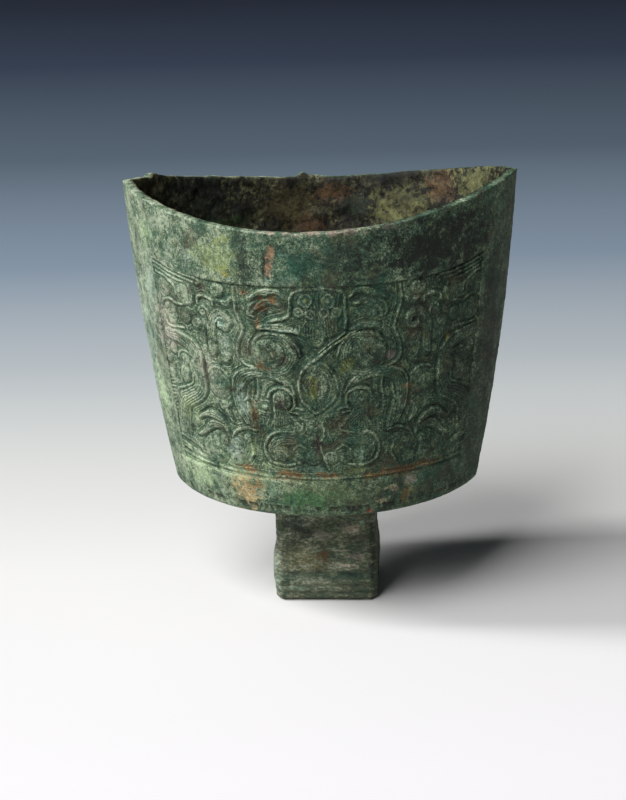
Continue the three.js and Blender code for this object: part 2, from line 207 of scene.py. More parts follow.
class Sheet:
    """The clay panel while it is cut. It holds each vertex's height over the plain wall, the furrow
    it lies on, how plainly furrows show there, how much hands rub the bronze bright there, and its
    distance from the nearest raised form. Mirrored, it takes the left half's forms on the right."""

    def __init__(self, x, z):
        self.x = x + HAND_SHAKE * flat_noise(x, z, 7, 1.5) + TREMOR * flat_noise(x, z, 2, 2.5)
        self.z = z + HAND_SHAKE * flat_noise(x, z, 7, 4.5) + TREMOR * flat_noise(x, z, 2, 5.5)
        self.height = np.full(x.shape, -PANEL_SINK)
        self.furrow = np.zeros(x.shape)
        self.furrowed = np.zeros(x.shape)
        self.rubbed = np.zeros(x.shape)
        self.clear = np.full(x.shape, 9.0)
        self.mirrored = False

    def near(self, points, margin):
        x = 2 * MASK_AXIS - self.x if self.mirrored else self.x
        low, high = points.min(0) - margin, points.max(0) + margin
        where = (x > low[0]) & (x < high[0]) & (self.z > low[1]) & (self.z < high[1])
        return where, x[where], self.z[where]

    def lay(self, where, outside, top, furrowed, furrow, rubbed=0):
        """A form is laid over what is there. Its points have outside below nought."""
        cover = smooth(EDGE, -EDGE, outside)
        self.clear[where] = np.minimum(self.clear[where], np.maximum(outside, 0))
        self.height[where] += cover * (top - self.height[where])
        self.rubbed[where] += cover * (rubbed - self.rubbed[where])
        inside = outside < 0
        spot = np.flatnonzero(where)[inside]
        self.furrow.flat[spot] = (furrow + 0 * outside)[inside]
        self.furrowed.flat[spot] = furrowed

    def stroke(self, points, widths, margin):
        """The points near a drawn line, their distance to it and half its width there. The widths
        are those at its start, middle and end."""
        line = smooth_line(np.array(points, float))
        where, x, z = self.near(line, margin + ECHO_REACH)
        distance, along = line_distance(x, z, line)
        return where, distance, np.interp(along, [0, 0.5, 1], [width / 2 for width in widths])

    def rim(self, points, widths, height):
        """A plain rounded ridge, rubbed bright along its crown."""
        where, distance, half = self.stroke(points, widths, max(widths))
        crown = np.sqrt(np.clip(1 - (distance / (half + 0.2)) ** 2, 0, 1))
        self.lay(where, distance - half, height * (0.3 + 0.7 * crown), 0, 0, CROWN_RUB * crown**4)

    def body(self, points, widths, height):
        """A broad low form with furrows along it."""
        where, distance, half = self.stroke(points, widths, max(widths) / 2)
        crown = np.clip(1 - (distance / np.maximum(half, 0.1)) ** 2, 0, 1)
        self.lay(where, distance - half, height + 0.2 * crown, 1, (half - distance) / FURROW_PITCH)

    def whorl(self, centre, radius, height, hand=1, dome=0.15, stretch=1):
        """A disc with a furrow that winds to its middle."""
        where, x, z = self.near(np.array([centre], float), radius * max(stretch, 1) + ECHO_REACH)
        u, v = x - centre[0], (z - centre[1]) / stretch
        size = np.hypot(u, v)
        turn = (radius - size) / FURROW_PITCH + hand * np.arctan2(v, u) / (2 * math.pi)
        top = height + dome * (1 - (size / radius) ** 2) + FURROW * (np.cos(2 * math.pi * turn) - 1)
        self.lay(where, size - radius, top, 0.35, turn)

    def boss(self, centre, radii, height, base=-0.3):
        """A plain dome."""
        where, x, z = self.near(np.array([centre], float), max(radii) + ECHO_REACH)
        size = np.hypot((x - centre[0]) / radii[0], (z - centre[1]) / radii[1])
        top = base + (height - base) * np.sqrt(np.clip(1 - size**2, 0, 1))
        self.lay(where, (size - 1) * min(radii), top, 0, 0, BOSS_RUB)

    def ring(self, centre, radius, width, height):
        """A raised ring."""
        where, x, z = self.near(np.array([centre], float), radius + width)
        away = abs(np.hypot(x - centre[0], z - centre[1]) - radius)
        self.lay(where, away - width / 2, height, 0, 0, RING_RUB)

    def comb(self, centre, radii, height):
        """A rounded field of upright lines."""
        where, x, z = self.near(np.array([centre], float), max(radii))
        size = np.hypot((x - centre[0]) / radii[0], (z - centre[1]) / radii[1])
        self.lay(where, (size - 1) * min(radii), height, 1, (x - centre[0]) / FURROW_PITCH)

    def cut(self, points, width, depth):
        """A hollow line, pressed into whatever is there."""
        line = smooth_line(np.array(points, float))
        where, x, z = self.near(line, 2 * width)
        distance, _ = line_distance(x, z, line)
        self.height[where] -= depth * np.exp(-((2 * distance / width) ** 2))

    def finish(self):
        """Furrows echo each form on the ground beside it, tiny spirals fill what is left, a cut runs
        round each form, and years of wear take their share of the whole."""
        ground = smooth(EDGE, 2 * EDGE, self.clear)
        echoed = smooth(ECHO_REACH, ECHO_REACH - 0.4, self.clear)
        row = np.floor(self.z / GROUND_CELL)
        shifted = self.x + 0.5 * GROUND_CELL * (row % 2)
        u = shifted % GROUND_CELL - GROUND_CELL / 2
        v = self.z % GROUND_CELL - GROUND_CELL / 2
        hand = np.where((row + np.floor(shifted / GROUND_CELL)) % 2 == 0, 1, -1)
        turn = (u**4 + v**4) ** 0.25 / GROUND_PITCH - hand * np.arctan2(v, u) / (2 * math.pi)
        self.height += ground * (1 - echoed) * GROUND_RELIEF * np.cos(2 * math.pi * turn)
        self.height -= MOAT_DEPTH * np.exp(-(((self.clear - MOAT_FROM_FORM) / MOAT_WIDTH) ** 2)) * ground
        self.furrow = np.where(ground > 0.5, self.clear / FURROW_PITCH + 0.1, self.furrow)
        self.furrowed = np.where(ground > 0.5, echoed, self.furrowed)
        wear = flat_noise(self.x, self.z, 13, 7.5) + 0.5 * flat_noise(self.x, self.z, 4, 8.5)
        wear = LEAST_WEAR + (MOST_WEAR - LEAST_WEAR) * smooth(-0.3, 0.6, wear)
        self.height -= wear * np.clip(self.height + PANEL_SINK, 0, 3)
        self.furrowed *= 1 - wear
        self.rubbed *= 1.2 - wear


def cut_dragon(sheet):
    """The dragon at the panel's edge, its spirals and its tilted eye."""
    sheet.body([(-70, 73.4), (-62, 72.6), (-56, 70.6), (-52.2, 67), (-50.7, 62), (-50.4, 56), (-52, 51),
                (-57.5, 47.8), (-62, 44.5), (-63.4, 39), (-64, 31)], (4, 5.6, 8.4), -0.07)
    sheet.rim([(-69, 75.4), (-60, 74.6), (-53.4, 72.6), (-49.9, 68.8), (-48.4, 64), (-48, 58.5),
               (-47.7, 53), (-49, 49), (-53.4, 45.8), (-57.8, 42.6), (-58.9, 38.5), (-59.4, 31)],
              (0.58, 0.79, 0.65), 0.15)
    sheet.cut([(-58, 75.6), (-52, 73.6), (-48.6, 69.2), (-47, 64), (-46.7, 57), (-46.4, 51.6),
               (-48.4, 47.8)], 1.2, 0.3)
    sheet.whorl((-65.8, 67.2), 2.4, 0, hand=-1)
    sheet.rim([(-63.2, 63.6), (-61, 67), (-57.6, 67.4), (-54.6, 66.2)], (0.5, 0.94, 0.58), 0.12)
    sheet.whorl((-59.2, 63.6), 2.7, 0.1)
    sheet.whorl((-53, 61.2), 2.9, 0, hand=-1, stretch=1.2)
    sheet.whorl((-59.3, 57.2), 3, 0.1, dome=0.5, stretch=1.3)
    sheet.cut([(-59.5, 58.6), (-59.1, 56)], 1.6, 0.3)
    sheet.rim([(-66.9, 43.6), (-66.4, 48), (-63, 50.2), (-58.5, 52), (-55, 54), (-54.6, 57.6)],
              (0.43, 0.79, 0.5), 0.12)
    for rung in range(9):
        sheet.rim([(-71, 38.7 + 1.6 * rung), (-67.8, 39.4 + 1.6 * rung)], (0.36, 0.5, 0.36), -0.06)
    sheet.body([(-66.4, 35.4), (-64.6, 32.6), (-66, 29)], (1, 3.2, 1), 0)
    sheet.whorl((-69.5, 55), 2.4, -0.1)
    sheet.whorl((-70.5, 62), 2.2, -0.1, hand=-1)


def cut_corner(sheet):
    """The upper corner, fanned lines that end in a curl, over spirals and a coiled tail."""
    sheet.rim([(-77, 104.2), (-64, 101.6), (-54.2, 100.2), (-49, 99.6), (-47.2, 98.4), (-48.6, 97.4)],
              (0.58, 0.72, 0.86), 0.12)
    sheet.rim([(-76, 102.4), (-64, 99.9), (-55, 98.6), (-50.6, 98)], (0.58, 0.65, 0.43), 0.06)
    sheet.rim([(-75, 100.6), (-66, 98.6), (-60, 97.2), (-56, 97)], (0.58, 0.65, 0.43), 0.06)
    sheet.rim([(-74, 98.2), (-68, 97.4), (-64, 95.6), (-61.4, 94), (-60.6, 91)], (0.58, 0.79, 0.65), 0.12)
    sheet.whorl((-69, 92.4), 3.7, -0.1, hand=-1)
    sheet.whorl((-56.5, 92), 3.7, 0, stretch=1.05)
    sheet.body([(-52.4, 96), (-51.6, 92), (-52.6, 88)], (1, 2.6, 1), 0)
    sheet.rim([(-71.5, 84), (-70, 87.4), (-65.6, 88.6), (-60.6, 87.2), (-55.4, 88), (-51.6, 90)],
              (0.58, 0.86, 0.58), 0.12)
    sheet.whorl((-65.5, 82.6), 4.4, 0)
    sheet.rim([(-70.4, 80.4), (-68.6, 77.6), (-64.5, 76.7), (-57.6, 77.3)], (0.58, 0.94, 0.65), 0.19)
    sheet.whorl((-55.8, 82.6), 2.5, 0.1, hand=-1)
    sheet.whorl((-50, 80.6), 2.3, 0)
    sheet.whorl((-46.9, 75), 2.1, 0, hand=-1)


def cut_horn(sheet):
    """The horn between corner and crest, bossed, hooked and hollowed, over a coil."""
    sheet.cut([(-49.5, 95.6), (-47, 95.9)], 3, 0.36)
    sheet.boss((-38.5, 95.8), (3.2, 2.8), 0.5)
    sheet.cut([(-39.6, 96), (-37.4, 95.6)], 2.6, 0.48)
    sheet.rim([(-49, 89.4), (-48.4, 92), (-45.2, 92.9), (-41.6, 92), (-40.8, 89.6)],
              (0.72, 1.08, 0.65), 0.31)
    sheet.cut([(-46.8, 90.6), (-43.6, 90.2), (-42.6, 88.8)], 2.2, 0.36)
    sheet.rim([(-49, 86), (-46.6, 88.2), (-44, 87.2), (-43.8, 84.4)], (0.65, 1.01, 0.58), 0.25)
    sheet.boss((-46.6, 85.6), (1.5, 1.4), 0.2)
    sheet.body([(-42.4, 70), (-42.6, 77), (-41.6, 83), (-38, 86.4), (-34.4, 84), (-35.4, 80.8),
                (-38.4, 81.4)], (4, 4.4, 2), 0.14)
    sheet.rim([(-41.4, 80.4), (-40.6, 84.4), (-37.4, 86.6), (-34, 84.6), (-34.6, 81), (-37.6, 80.6),
               (-38.6, 82.8)], (0.72, 1.22, 0.72), 0.43)
    sheet.cut([(-44.6, 78), (-44.8, 71), (-42.4, 66.4), (-38.4, 64.8)], 1.4, 0.36)
    sheet.body([(-38.4, 91.4), (-34.6, 91), (-32.4, 93.4)], (1, 2.6, 1), 0)
    sheet.body([(-10.6, 94.6), (-13.6, 97.2), (-19.4, 96.4), (-25.4, 93.6)], (1, 3, 1), 0.07)
    sheet.body([(-12.4, 91.6), (-16.4, 93), (-20.6, 91.2), (-23.6, 88.2)], (1, 2.8, 1), 0.07)
    sheet.rim([(-22.6, 92.6), (-24.8, 90.6), (-25.2, 87.6), (-22.8, 86.4)], (0.5, 0.79, 0.58), 0.19)
    sheet.rim([(-31, 98), (-31, 90), (-29.4, 86), (-28, 81.6), (-29.2, 78), (-30.6, 74.4), (-30.4, 70),
               (-28, 66.6), (-24.6, 65.6)], (0.65, 1.01, 0.72), 0.37)


def cut_cheek(sheet):
    """The cheek, an arch that runs from the nose over the nostril and down into a column."""
    sheet.body([(-38.4, 77), (-36.4, 72), (-36.2, 67.6)], (3, 6, 4), -0.21)
    sheet.whorl((-36.2, 68.8), 2.2, 0.2)
    sheet.whorl((-40.4, 56.6), 5.2, -0.2, dome=0.3, stretch=1.1)
    sheet.rim([(-45.6, 60.4), (-42.8, 63), (-38.6, 63), (-35.6, 60.4)], (0.5, 0.79, 0.5), 0.06)
    sheet.body([(-10.6, 58.6), (-15.8, 62.2), (-22, 63), (-28, 61.2), (-30.8, 56.6), (-30.6, 50),
                (-28.8, 45), (-26, 40.6)], (1.6, 5, 3), 0)
    sheet.rim([(-7.6, 55), (-10, 59.4), (-13.6, 62.8), (-18, 65), (-23.6, 65), (-29, 63.8), (-33, 60.4),
               (-33.6, 55), (-33, 49.6), (-31, 45), (-28, 40.6)], (0.58, 0.94, 0.72), 0.31)
    sheet.rim([(-31, 58.6), (-31.4, 52.6), (-29.6, 50.9), (-27.6, 52), (-26.8, 57)],
              (0.58, 0.86, 0.58), 0.31)
    sheet.rim([(-29.2, 59.4), (-29.3, 54.2)], (0.43, 0.58, 0.43), 0.19)
    sheet.rim([(-22.8, 61), (-22.4, 56), (-23.6, 51.6)], (0.5, 0.72, 0.5), 0.12)
    sheet.body([(-27.6, 50), (-27.2, 46), (-25.4, 41.6)], (1, 2.8, 1), 0.14)
    sheet.whorl((-38.4, 47.6), 2.1, 0)
    sheet.body([(-35.6, 48.6), (-36.8, 44.6), (-34.4, 40.8)], (1, 2.4, 1), 0)
    sheet.rim([(-24.6, 38.2), (-29, 38.8), (-33.4, 37), (-35.6, 33.6)], (0.65, 1.08, 0.65), 0.37)
    sheet.whorl((-34.2, 31.2), 2.4, 0.1, hand=-1)
    sheet.whorl((-34, 24.2), 2.6, 0.1)
    sheet.whorl((-28.4, 34), 2, 0)
    sheet.rim([(-27.4, 31.6), (-26.4, 27.6), (-28.4, 23.6)], (0.58, 0.86, 0.58), 0.12)


def cut_claws(sheet):
    """Two feathered claws, the whorl under them, and the lines of the lower edge."""
    sheet.body([(-52.6, 38.8), (-50, 40.9), (-45.5, 42.4), (-41, 40.9), (-37.4, 38)], (1, 3.4, 1), 0.21)
    sheet.cut([(-52, 41.6), (-47.4, 44.9), (-42, 44.2), (-37.6, 40.8)], 1.4, 0.42)
    sheet.body([(-54, 31), (-50, 33.2), (-47, 36.4), (-43.4, 38), (-38.6, 37.4), (-36.8, 34.2)],
               (1.2, 3.6, 1.2), 0.14)
    sheet.cut([(-50.6, 30.2), (-47.6, 33.6), (-44, 35.4), (-40, 34.8)], 1.4, 0.36)
    sheet.whorl((-45, 26), 6.3, -0.2, dome=0.35)
    sheet.whorl((-40, 31.8), 1.9, 0.1)
    sheet.whorl((-56, 36.4), 2.1, 0, hand=-1)
    sheet.body([(-67, 27.6), (-60, 27.4), (-54, 25.4), (-51.8, 23.4)], (1.4, 3, 1), 0)
    sheet.body([(-67.2, 23.2), (-60, 22.4), (-52, 21.2)], (2.4, 2.6, 1.2), -0.14)


def cut_eye(sheet):
    """The eye, a ball set outward in a furrowed socket, with a lid over it."""
    sheet.body([(-15.5, 71.4), (-15.4, 71.4)], (18.4, 18.4, 18.4), 0)
    sheet.boss((-17.6, 71.9), (6.6, 6.1), 1.2, base=0.1)
    sheet.cut([(-19.4, 73.4), (-18.4, 72.4)], 3, 0.54)
    sheet.cut([(-14.4, 68.4), (-12.6, 65.8)], 2.6, 0.42)
    sheet.cut([(-12.2, 77), (-9.8, 73), (-10.4, 68.6)], 1.6, 0.24)
    sheet.cut([(-24.4, 77.2), (-22, 80.4), (-15.8, 81.9), (-9.2, 80.4), (-4.8, 75.6),
               (-3.9, 71)], 1.8, 0.48)
    sheet.rim([(-24, 75.4), (-21.6, 78.6), (-16, 80.2), (-10.4, 79), (-6.6, 75.4), (-5.4, 71)],
              (0.58, 1.01, 0.65), 0.37)


def cut_muzzle(sheet):
    """The nostril on its flared stem, and the jaw, a ridge round a field with two spirals."""
    sheet.body([(-14, 50), (-13.2, 45), (-12, 41.8)], (5, 7, 11), -0.07)
    sheet.rim([(-16.4, 50.6), (-16.2, 45.4), (-18, 41)], (0.5, 0.72, 0.5), 0.12)
    sheet.rim([(-11.2, 47.2), (-8.2, 44), (-5.8, 41)], (0.58, 0.94, 0.65), 0.25)
    sheet.whorl((-13, 52.6), 3.9, 0.4, dome=0.6)
    sheet.cut([(-19.6, 54.6), (-17.6, 57.6), (-12.6, 59), (-8, 56.4), (-6.8, 51)], 1.4, 0.3)
    sheet.rim([(-18.7, 53.4), (-17.2, 56.2), (-12.6, 57.3), (-8.8, 55.2), (-7.9, 51.2), (-9, 48.4)],
              (0.72, 1.15, 0.72), 0.5)
    sheet.rim([(-4.8, 48.4), (-7.6, 49.3), (-10, 47.8), (-6.4, 46.6)], (0.5, 0.72, 0.5), 0.25)
    sheet.boss((-20, 48.8), (1.6, 1), 0.5)
    sheet.body([(-9.6, 34.6), (-14.6, 34.4), (-17.8, 31), (-16.6, 26.8)], (3.6, 4.6, 3), -0.14)
    sheet.rim([(-5.2, 42.2), (-6, 39.8), (-8.6, 38.8), (-12, 38.6), (-16.6, 38), (-19.7, 35.4),
               (-21.1, 31.2), (-20.2, 26.8), (-17.2, 24.2), (-12.2, 23.5), (-9, 24.4)],
              (0.72, 1.08, 0.72), 0.43)
    sheet.whorl((-14.4, 29), 3.5, 0, dome=0.5)
    sheet.whorl((-1.4, 27.2), 2.8, 0.1, hand=-1)
    sheet.rim([(-9.6, 30.6), (-7, 32.6), (-4.4, 31.2)], (0.43, 0.72, 0.43), 0.06)
    sheet.whorl((-7.6, 26.6), 2, -0.1)


def cut_middle(sheet):
    """The crest, the nose and the parting line, which cross the mask's axis."""
    sheet.body([(2.6, 96), (2.6, 86), (1.4, 78)], (17, 16, 6), -0.07)
    sheet.comb((2.2, 82.6), (8, 4.6), 0)
    sheet.rim([(-17, 84.4), (-14.4, 85.6), (-9.8, 87.2), (-8.4, 90.4), (-7.9, 94.4), (-6.6, 96.8),
               (-3.4, 98), (2, 98.2), (8.4, 98), (11.8, 96.4), (13, 93.4), (13, 87), (12.4, 82)],
              (1, 0.95, 0.9), 0.5)
    sheet.rim([(-5.6, 94.6), (-4.6, 96.2), (-2.4, 96.8)], (0.43, 0.58, 0.36), 0.25)
    sheet.body([(-21, 82), (-15.6, 82.8), (-10, 82.2), (-5, 80)], (1.6, 3.4, 1.2), 0.35)
    sheet.body([(25.6, 82.6), (19.6, 83), (15, 81.6)], (1.4, 2.8, 1.2), 0.28)
    for eye in ((-2, 93.6), (6.6, 93.4)):
        sheet.boss(eye, (3.1, 3.1), 0.1, base=-0.1)
        sheet.ring(eye, 2.4, 0.8, 0.5)
        sheet.boss(eye, (1, 1), 0.5, base=0)
    for spiral in ((-4.9, 89), (-0.4, 88.2), (4.9, 88.7), (9.7, 88.9)):
        sheet.boss(spiral, (2.2, 2.2), 0.1, base=-0.1)
        sheet.ring(spiral, 1.7, 0.7, 0.4)
        sheet.boss(spiral, (0.7, 0.7), 0.4, base=0)
    sheet.rim([(-1.8, 86), (-3, 84.6), (-3.9, 82.6)], (0.43, 0.94, 0.43), 0.25)
    sheet.rim([(1.8, 82), (2.4, 77.8)], (0.4, 0.8, 0.4), 0.2)
    sheet.rim([(5, 85.4), (4.8, 81.2)], (0.4, 0.7, 0.4), 0.2)
    sheet.rim([(8.2, 85.6), (7.8, 81.4)], (0.4, 0.7, 0.4), 0.2)
    # Nose, a pointed leaf of nested rims round a raised core
    sheet.body([(2.6, 66.8), (2.4, 58), (1.4, 49)], (4, 15, 4), -0.14)
    sheet.rim([(3.4, 68.4), (7, 64.4), (9, 59.6), (8.2, 54), (5, 49.8), (0.2, 46.8)],
              (0.65, 0.94, 0.65), 0.31)
    sheet.rim([(2.6, 64.8), (-0.8, 62.6), (-1.7, 58), (-0.6, 53.4), (2.4, 50.4), (5.6, 54), (6.2, 58.6),
               (4.8, 63), (2.6, 64.8)], (0.58, 0.58, 0.58), 0.25)
    sheet.boss((2.4, 58), (2.7, 5.4), 0.7, base=0)
    sheet.cut([(2.2, 62.6), (2.2, 53.6)], 0.8, 0.18)
    # Twin strands that cross from the upper right and become the nose's left rim
    sheet.rim([(12.6, 80.2), (6.5, 75.7), (2, 72.4)], (0.58, 0.65, 0.43), 0.31)
    sheet.rim([(19, 82), (12.4, 78.4), (6.4, 74.2), (0.8, 69.6), (-3, 66.4), (-5.5, 62.2), (-6.2, 57.4),
               (-4.2, 51.4), (0.2, 46.8)], (0.65, 1.08, 0.72), 0.5)
    sheet.cut([(-8, 75.4), (-4.6, 69.4), (-7.6, 62.6), (-8.2, 57)], 1.8, 0.36)
    sheet.cut([(0.4, 45.8), (0.9, 40), (0.4, 34)], 2, 0.42)
    sheet.rim([(2.4, 42.6), (3, 37.4), (1, 34.4)], (0.5, 0.72, 0.5), 0.19)
    sheet.rim([(1.4, 32.6), (2.6, 28.6), (4.8, 22)], (0.5, 0.79, 0.5), 0.25)


def cut_panel(x, z):
    """The whole panel: both halves, what crosses the axis, the border line below and the ground."""
    sheet = Sheet(x, z)
    for sheet.mirrored in (False, True):
        for cut_part in (cut_dragon, cut_corner, cut_horn, cut_cheek, cut_claws, cut_eye, cut_muzzle):
            cut_part(sheet)
    sheet.mirrored = False
    cut_middle(sheet)
    sheet.rim([(-68, 19.6), (-60, 19.2), (-50, 18.9), (-38, 18.6), (-20, 18.2), (0, 18), (30, 18.1),
               (69, 19)], (0.7, 0.9, 0.7), -0.1)
    sheet.finish()
    return sheet


# Bell walls, the castings
# Each wall is one skin that runs up its outside, over the lip and down its inside. It is cut along
# its middle into two pieces, and the closed ends meet their neighbours face to face.
FINE_STEP = 0.33
PLAIN_STEP = 0.9
SIDE_MARGIN = 28
UPPER_BAND = 24
LIP_STEPS = 7
LIP_ROUND = 0.9
LIP_SQUARENESS = 0.6
LIP_TILT = 1.1
LIP_WANDER = 0.35
LIP_WEAR = 0.6
SKIN_GRAIN = 9
SKIN_WANDER = 0.16
PIT_GRAIN = 1.6
PIT_DEPTH = 0.12
BORE_SHARE = 0.45
CORE_GRAIN = 8
CORE_WANDER = 0.6
RIDGE_WEAR = 0.3
RIDGE_REACH = 1.2
RIDGE_CALM = 0.1
CREST_OVER_NEAR = 0.9
CREST_OVER_FAR = 0.4
NEAR_CELLS = 3
FAR_CELLS = 12
# Small burrs of the lip: where along it, how high and how wide
BURRS = {FRONT: [], BACK: [(11, 1.6, 2.2), (7, 0.6, 6), (88, 1.3, 2), (84, 0.6, 5)]}


def steps(length, size):
    """Even shares of a length, each about that size."""
    return np.linspace(0, 1, max(2, round(length / size)), endpoint=False)


def finished(name, bm, sharp_from=180):
    """The mesh as an object, its faces turned outwards and its edges sharp past that angle."""
    bmesh.ops.recalc_face_normals(bm, faces=bm.faces)
    for facet in bm.faces:
        facet.smooth = True
    for edge in bm.edges:
        if edge.is_manifold and edge.calc_face_angle() > math.radians(sharp_from):
            edge.smooth = False
    mesh = bpy.data.meshes.new(name)
    bm.to_mesh(mesh)
    bm.free()
    piece = bpy.data.objects.new(name, mesh)
    bpy.context.scene.collection.objects.link(piece)
    return piece


def skin_mesh(name, points, closed_ring=False):
    """A mesh from rows of points, as a grid whose first and last rows are bridged or merged."""
    rows, columns = points.shape[:2]
    bm = bmesh.new()
    bmesh.ops.create_grid(bm, x_segments=columns - 1, y_segments=rows - 1, size=0.5)
    for vertex, place in zip(bm.verts, points.reshape(-1, 3)):
        vertex.co = place
    if closed_ring:
        bmesh.ops.remove_doubles(bm, verts=bm.verts, dist=1e-6)
    else:
        bm.verts.ensure_lookup_table()
        first, last = set(bm.verts[:columns]), set(bm.verts[-columns:])
        ends = [e for e in bm.edges if e.is_boundary]
        rims = [e for e in ends if set(e.verts) <= first or set(e.verts) <= last]
        bmesh.ops.bridge_loops(bm, edges=rims)
        bmesh.ops.holes_fill(bm, edges=[e for e in bm.edges if e.is_boundary], sides=0)
        for edge in ends:
            edge.smooth = False
    return finished(name, bm, 60)


def paint_values(piece, **values):
    """Numbers for the material, kept on the mesh point by point."""
    for name, value in values.items():
        attribute = piece.data.attributes.new(name, "FLOAT", "POINT")
        spread = np.zeros(len(piece.data.vertices), np.float32) + np.asarray(value, np.float32).ravel()
        attribute.data.foreach_set("value", spread)


def local_mean(values, cells):
    """The mean over a square of the grid, for telling crests from hollows."""
    for axis in (0, 1):
        size = values.shape[axis]
        padded = np.pad(values, [(cells, cells) if a == axis else (0, 0) for a in (0, 1)], mode="edge")
        total = np.insert(np.cumsum(padded, axis=axis), 0, 0, axis=axis)
        high = np.take(total, np.arange(2 * cells + 1, 2 * cells + 1 + size), axis=axis)
        low = np.take(total, np.arange(size), axis=axis)
        values = (high - low) / (2 * cells + 1)
    return values


def cast_half_wall(name, face, hand):
    """Half a wall, from its middle out to the ridge at that hand as seen from outside."""
    arc_length = wall_arc(PANEL_TOP)[0] * PANEL_REACH
    inner_columns = steps(arc_length, FINE_STEP)
    outer_columns = np.append(steps(SIDE_MARGIN, PLAIN_STEP), 1)
    low_rows = steps(PANEL_BOTTOM - PLATE_TOP, PLAIN_STEP)
    panel_rows = steps(PANEL_TOP - PANEL_BOTTOM, FINE_STEP)
    high_rows = np.append(steps(UPPER_BAND, PLAIN_STEP), 1)
    upper_bore = BORE_SHARE * steps(BORE_SHARE * BODY_HEIGHT, 1.2 * PLAIN_STEP)[1:]
    lower_bore = BORE_SHARE + (1 - BORE_SHARE) * steps((1 - BORE_SHARE) * BODY_HEIGHT, 4 * PLAIN_STEP)
    inner_rows = np.concatenate([upper_bore, lower_bore, [1]])

    # The angle of each column where the wall is widest, and the lip there
    spread = (MOUTH_REACH - PANEL_REACH) * outer_columns
    flat_angle = np.concatenate([PANEL_REACH * inner_columns, PANEL_REACH + spread])
    arc_at_lip = hand * flat_angle * wall_arc(BODY_HEIGHT)[0]
    lip = lip_rise(flat_angle) + face * hand * LIP_TILT * np.sin(flat_angle) / math.sin(MOUTH_REACH)
    wandering = flat_noise(arc_at_lip, 0 * arc_at_lip + 40 * face, 6, 2.5)
    lip = lip + LIP_WANDER * wandering * smooth(0, RIDGE_CALM, MOUTH_REACH - flat_angle)
    for place, size, width in BURRS[face]:
        lip = lip + size * np.exp(-(((arc_at_lip - place) / width) ** 2))
    panel_high = panel_top(np.minimum(flat_angle, PANEL_REACH * 1.15))
    shoulder = lip - LIP_ROUND

    rise, depth = [], []
    for share in low_rows:
        rise.append(PLATE_TOP + share * (PANEL_BOTTOM - PLATE_TOP) + 0 * lip)
    for share in panel_rows:
        rise.append(PANEL_BOTTOM + share * (panel_high - PANEL_BOTTOM))
    for share in high_rows:
        rise.append(panel_high + share * (shoulder - panel_high))
    depth += [0] * len(rise)
    for step in range(1, 2 * LIP_STEPS):
        turn = math.pi / 2 * step / LIP_STEPS
        rise.append(shoulder + LIP_ROUND * math.sin(turn) ** LIP_SQUARENESS)
        inward = math.copysign(abs(math.cos(turn)) ** LIP_SQUARENESS, math.cos(turn))
        depth.append(WALL / 2 * (1 - inward))
    for share in inner_rows:
        rise.append(shoulder + share * (PLATE_TOP - shoulder))
        depth.append(WALL)
    rise = np.array(rise)
    depth = np.repeat(np.array(depth, float)[:, None], rise.shape[1], 1)

    # Columns keep their angle in the panel and spread to the ridge outside it
    own_reach = reach(rise)
    spread = np.clip((flat_angle - PANEL_REACH) / (MOUTH_REACH - PANEL_REACH), 0, 1)
    angle = np.where(flat_angle < PANEL_REACH, flat_angle, PANEL_REACH + (own_reach - PANEL_REACH) * spread)
    share = hand * angle / own_reach
    share[:, -1] = hand
    x = hand * angle * wall_arc(rise)[0]
    outside = depth == 0
    in_panel = outside & (angle < PANEL_REACH - 1e-6)
    in_panel &= (rise > PANEL_BOTTOM - 1e-6) & (rise < panel_high - 0.05)
    height, furrow, furrowed, rubbed = (np.zeros(rise.shape) for _ in range(4))
    sheet = cut_panel(x[in_panel], rise[in_panel])
    height[in_panel], furrow[in_panel] = sheet.height, sheet.furrow
    furrowed[in_panel], rubbed[in_panel] = sheet.furrowed, sheet.rubbed

    plain = wall_points(face, share, rise, depth)
    wander = corroded(plain, SKIN_GRAIN, SKIN_WANDER, 3)
    pits = corroded(plain, PIT_GRAIN, PIT_DEPTH, 11) * (depth < WALL)
    core = corroded(plain, CORE_GRAIN, CORE_WANDER, 17, 3) * smooth(0.6 * WALL, WALL, depth)
    to_ridge = (own_reach - angle) * wall_arc(rise)[0]
    wear = RIDGE_WEAR * np.exp(-to_ridge / RIDGE_REACH) * (depth < WALL)
    points = wall_points(face, share, rise, depth - height - wander - pits + core + wear)
    points[:, 0, 0] = 0
    points[:, -1, 1] = 0
    piece = skin_mesh(name, points)
    raised = height + 0.7 * pits
    over_near = CREST_OVER_NEAR * (raised - local_mean(raised, NEAR_CELLS))
    over_far = CREST_OVER_FAR * (raised - local_mean(raised, FAR_CELLS))
    crest = 0.5 + rubbed + over_near + over_far
    crest = np.where(outside, crest, LIP_WEAR + 3.5 * pits + 3 * wander)
    in_bore = smooth(0.55 * WALL, 0.9 * WALL, depth)
    paint_values(piece, crest=crest, inside=in_bore, furrow=furrow, furrowed=furrowed)
    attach(piece, "root")
    return piece


wall_pieces = {}
for wall_name, wall_face in (("front_wall", FRONT), ("back_wall", BACK)):
    for hand_name, wall_hand in (("left", -1), ("right", 1)):
        half = cast_half_wall(f"{wall_name}_{hand_name}", wall_face, wall_hand)
        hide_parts(wall_name)
        wall_pieces[half.name] = half

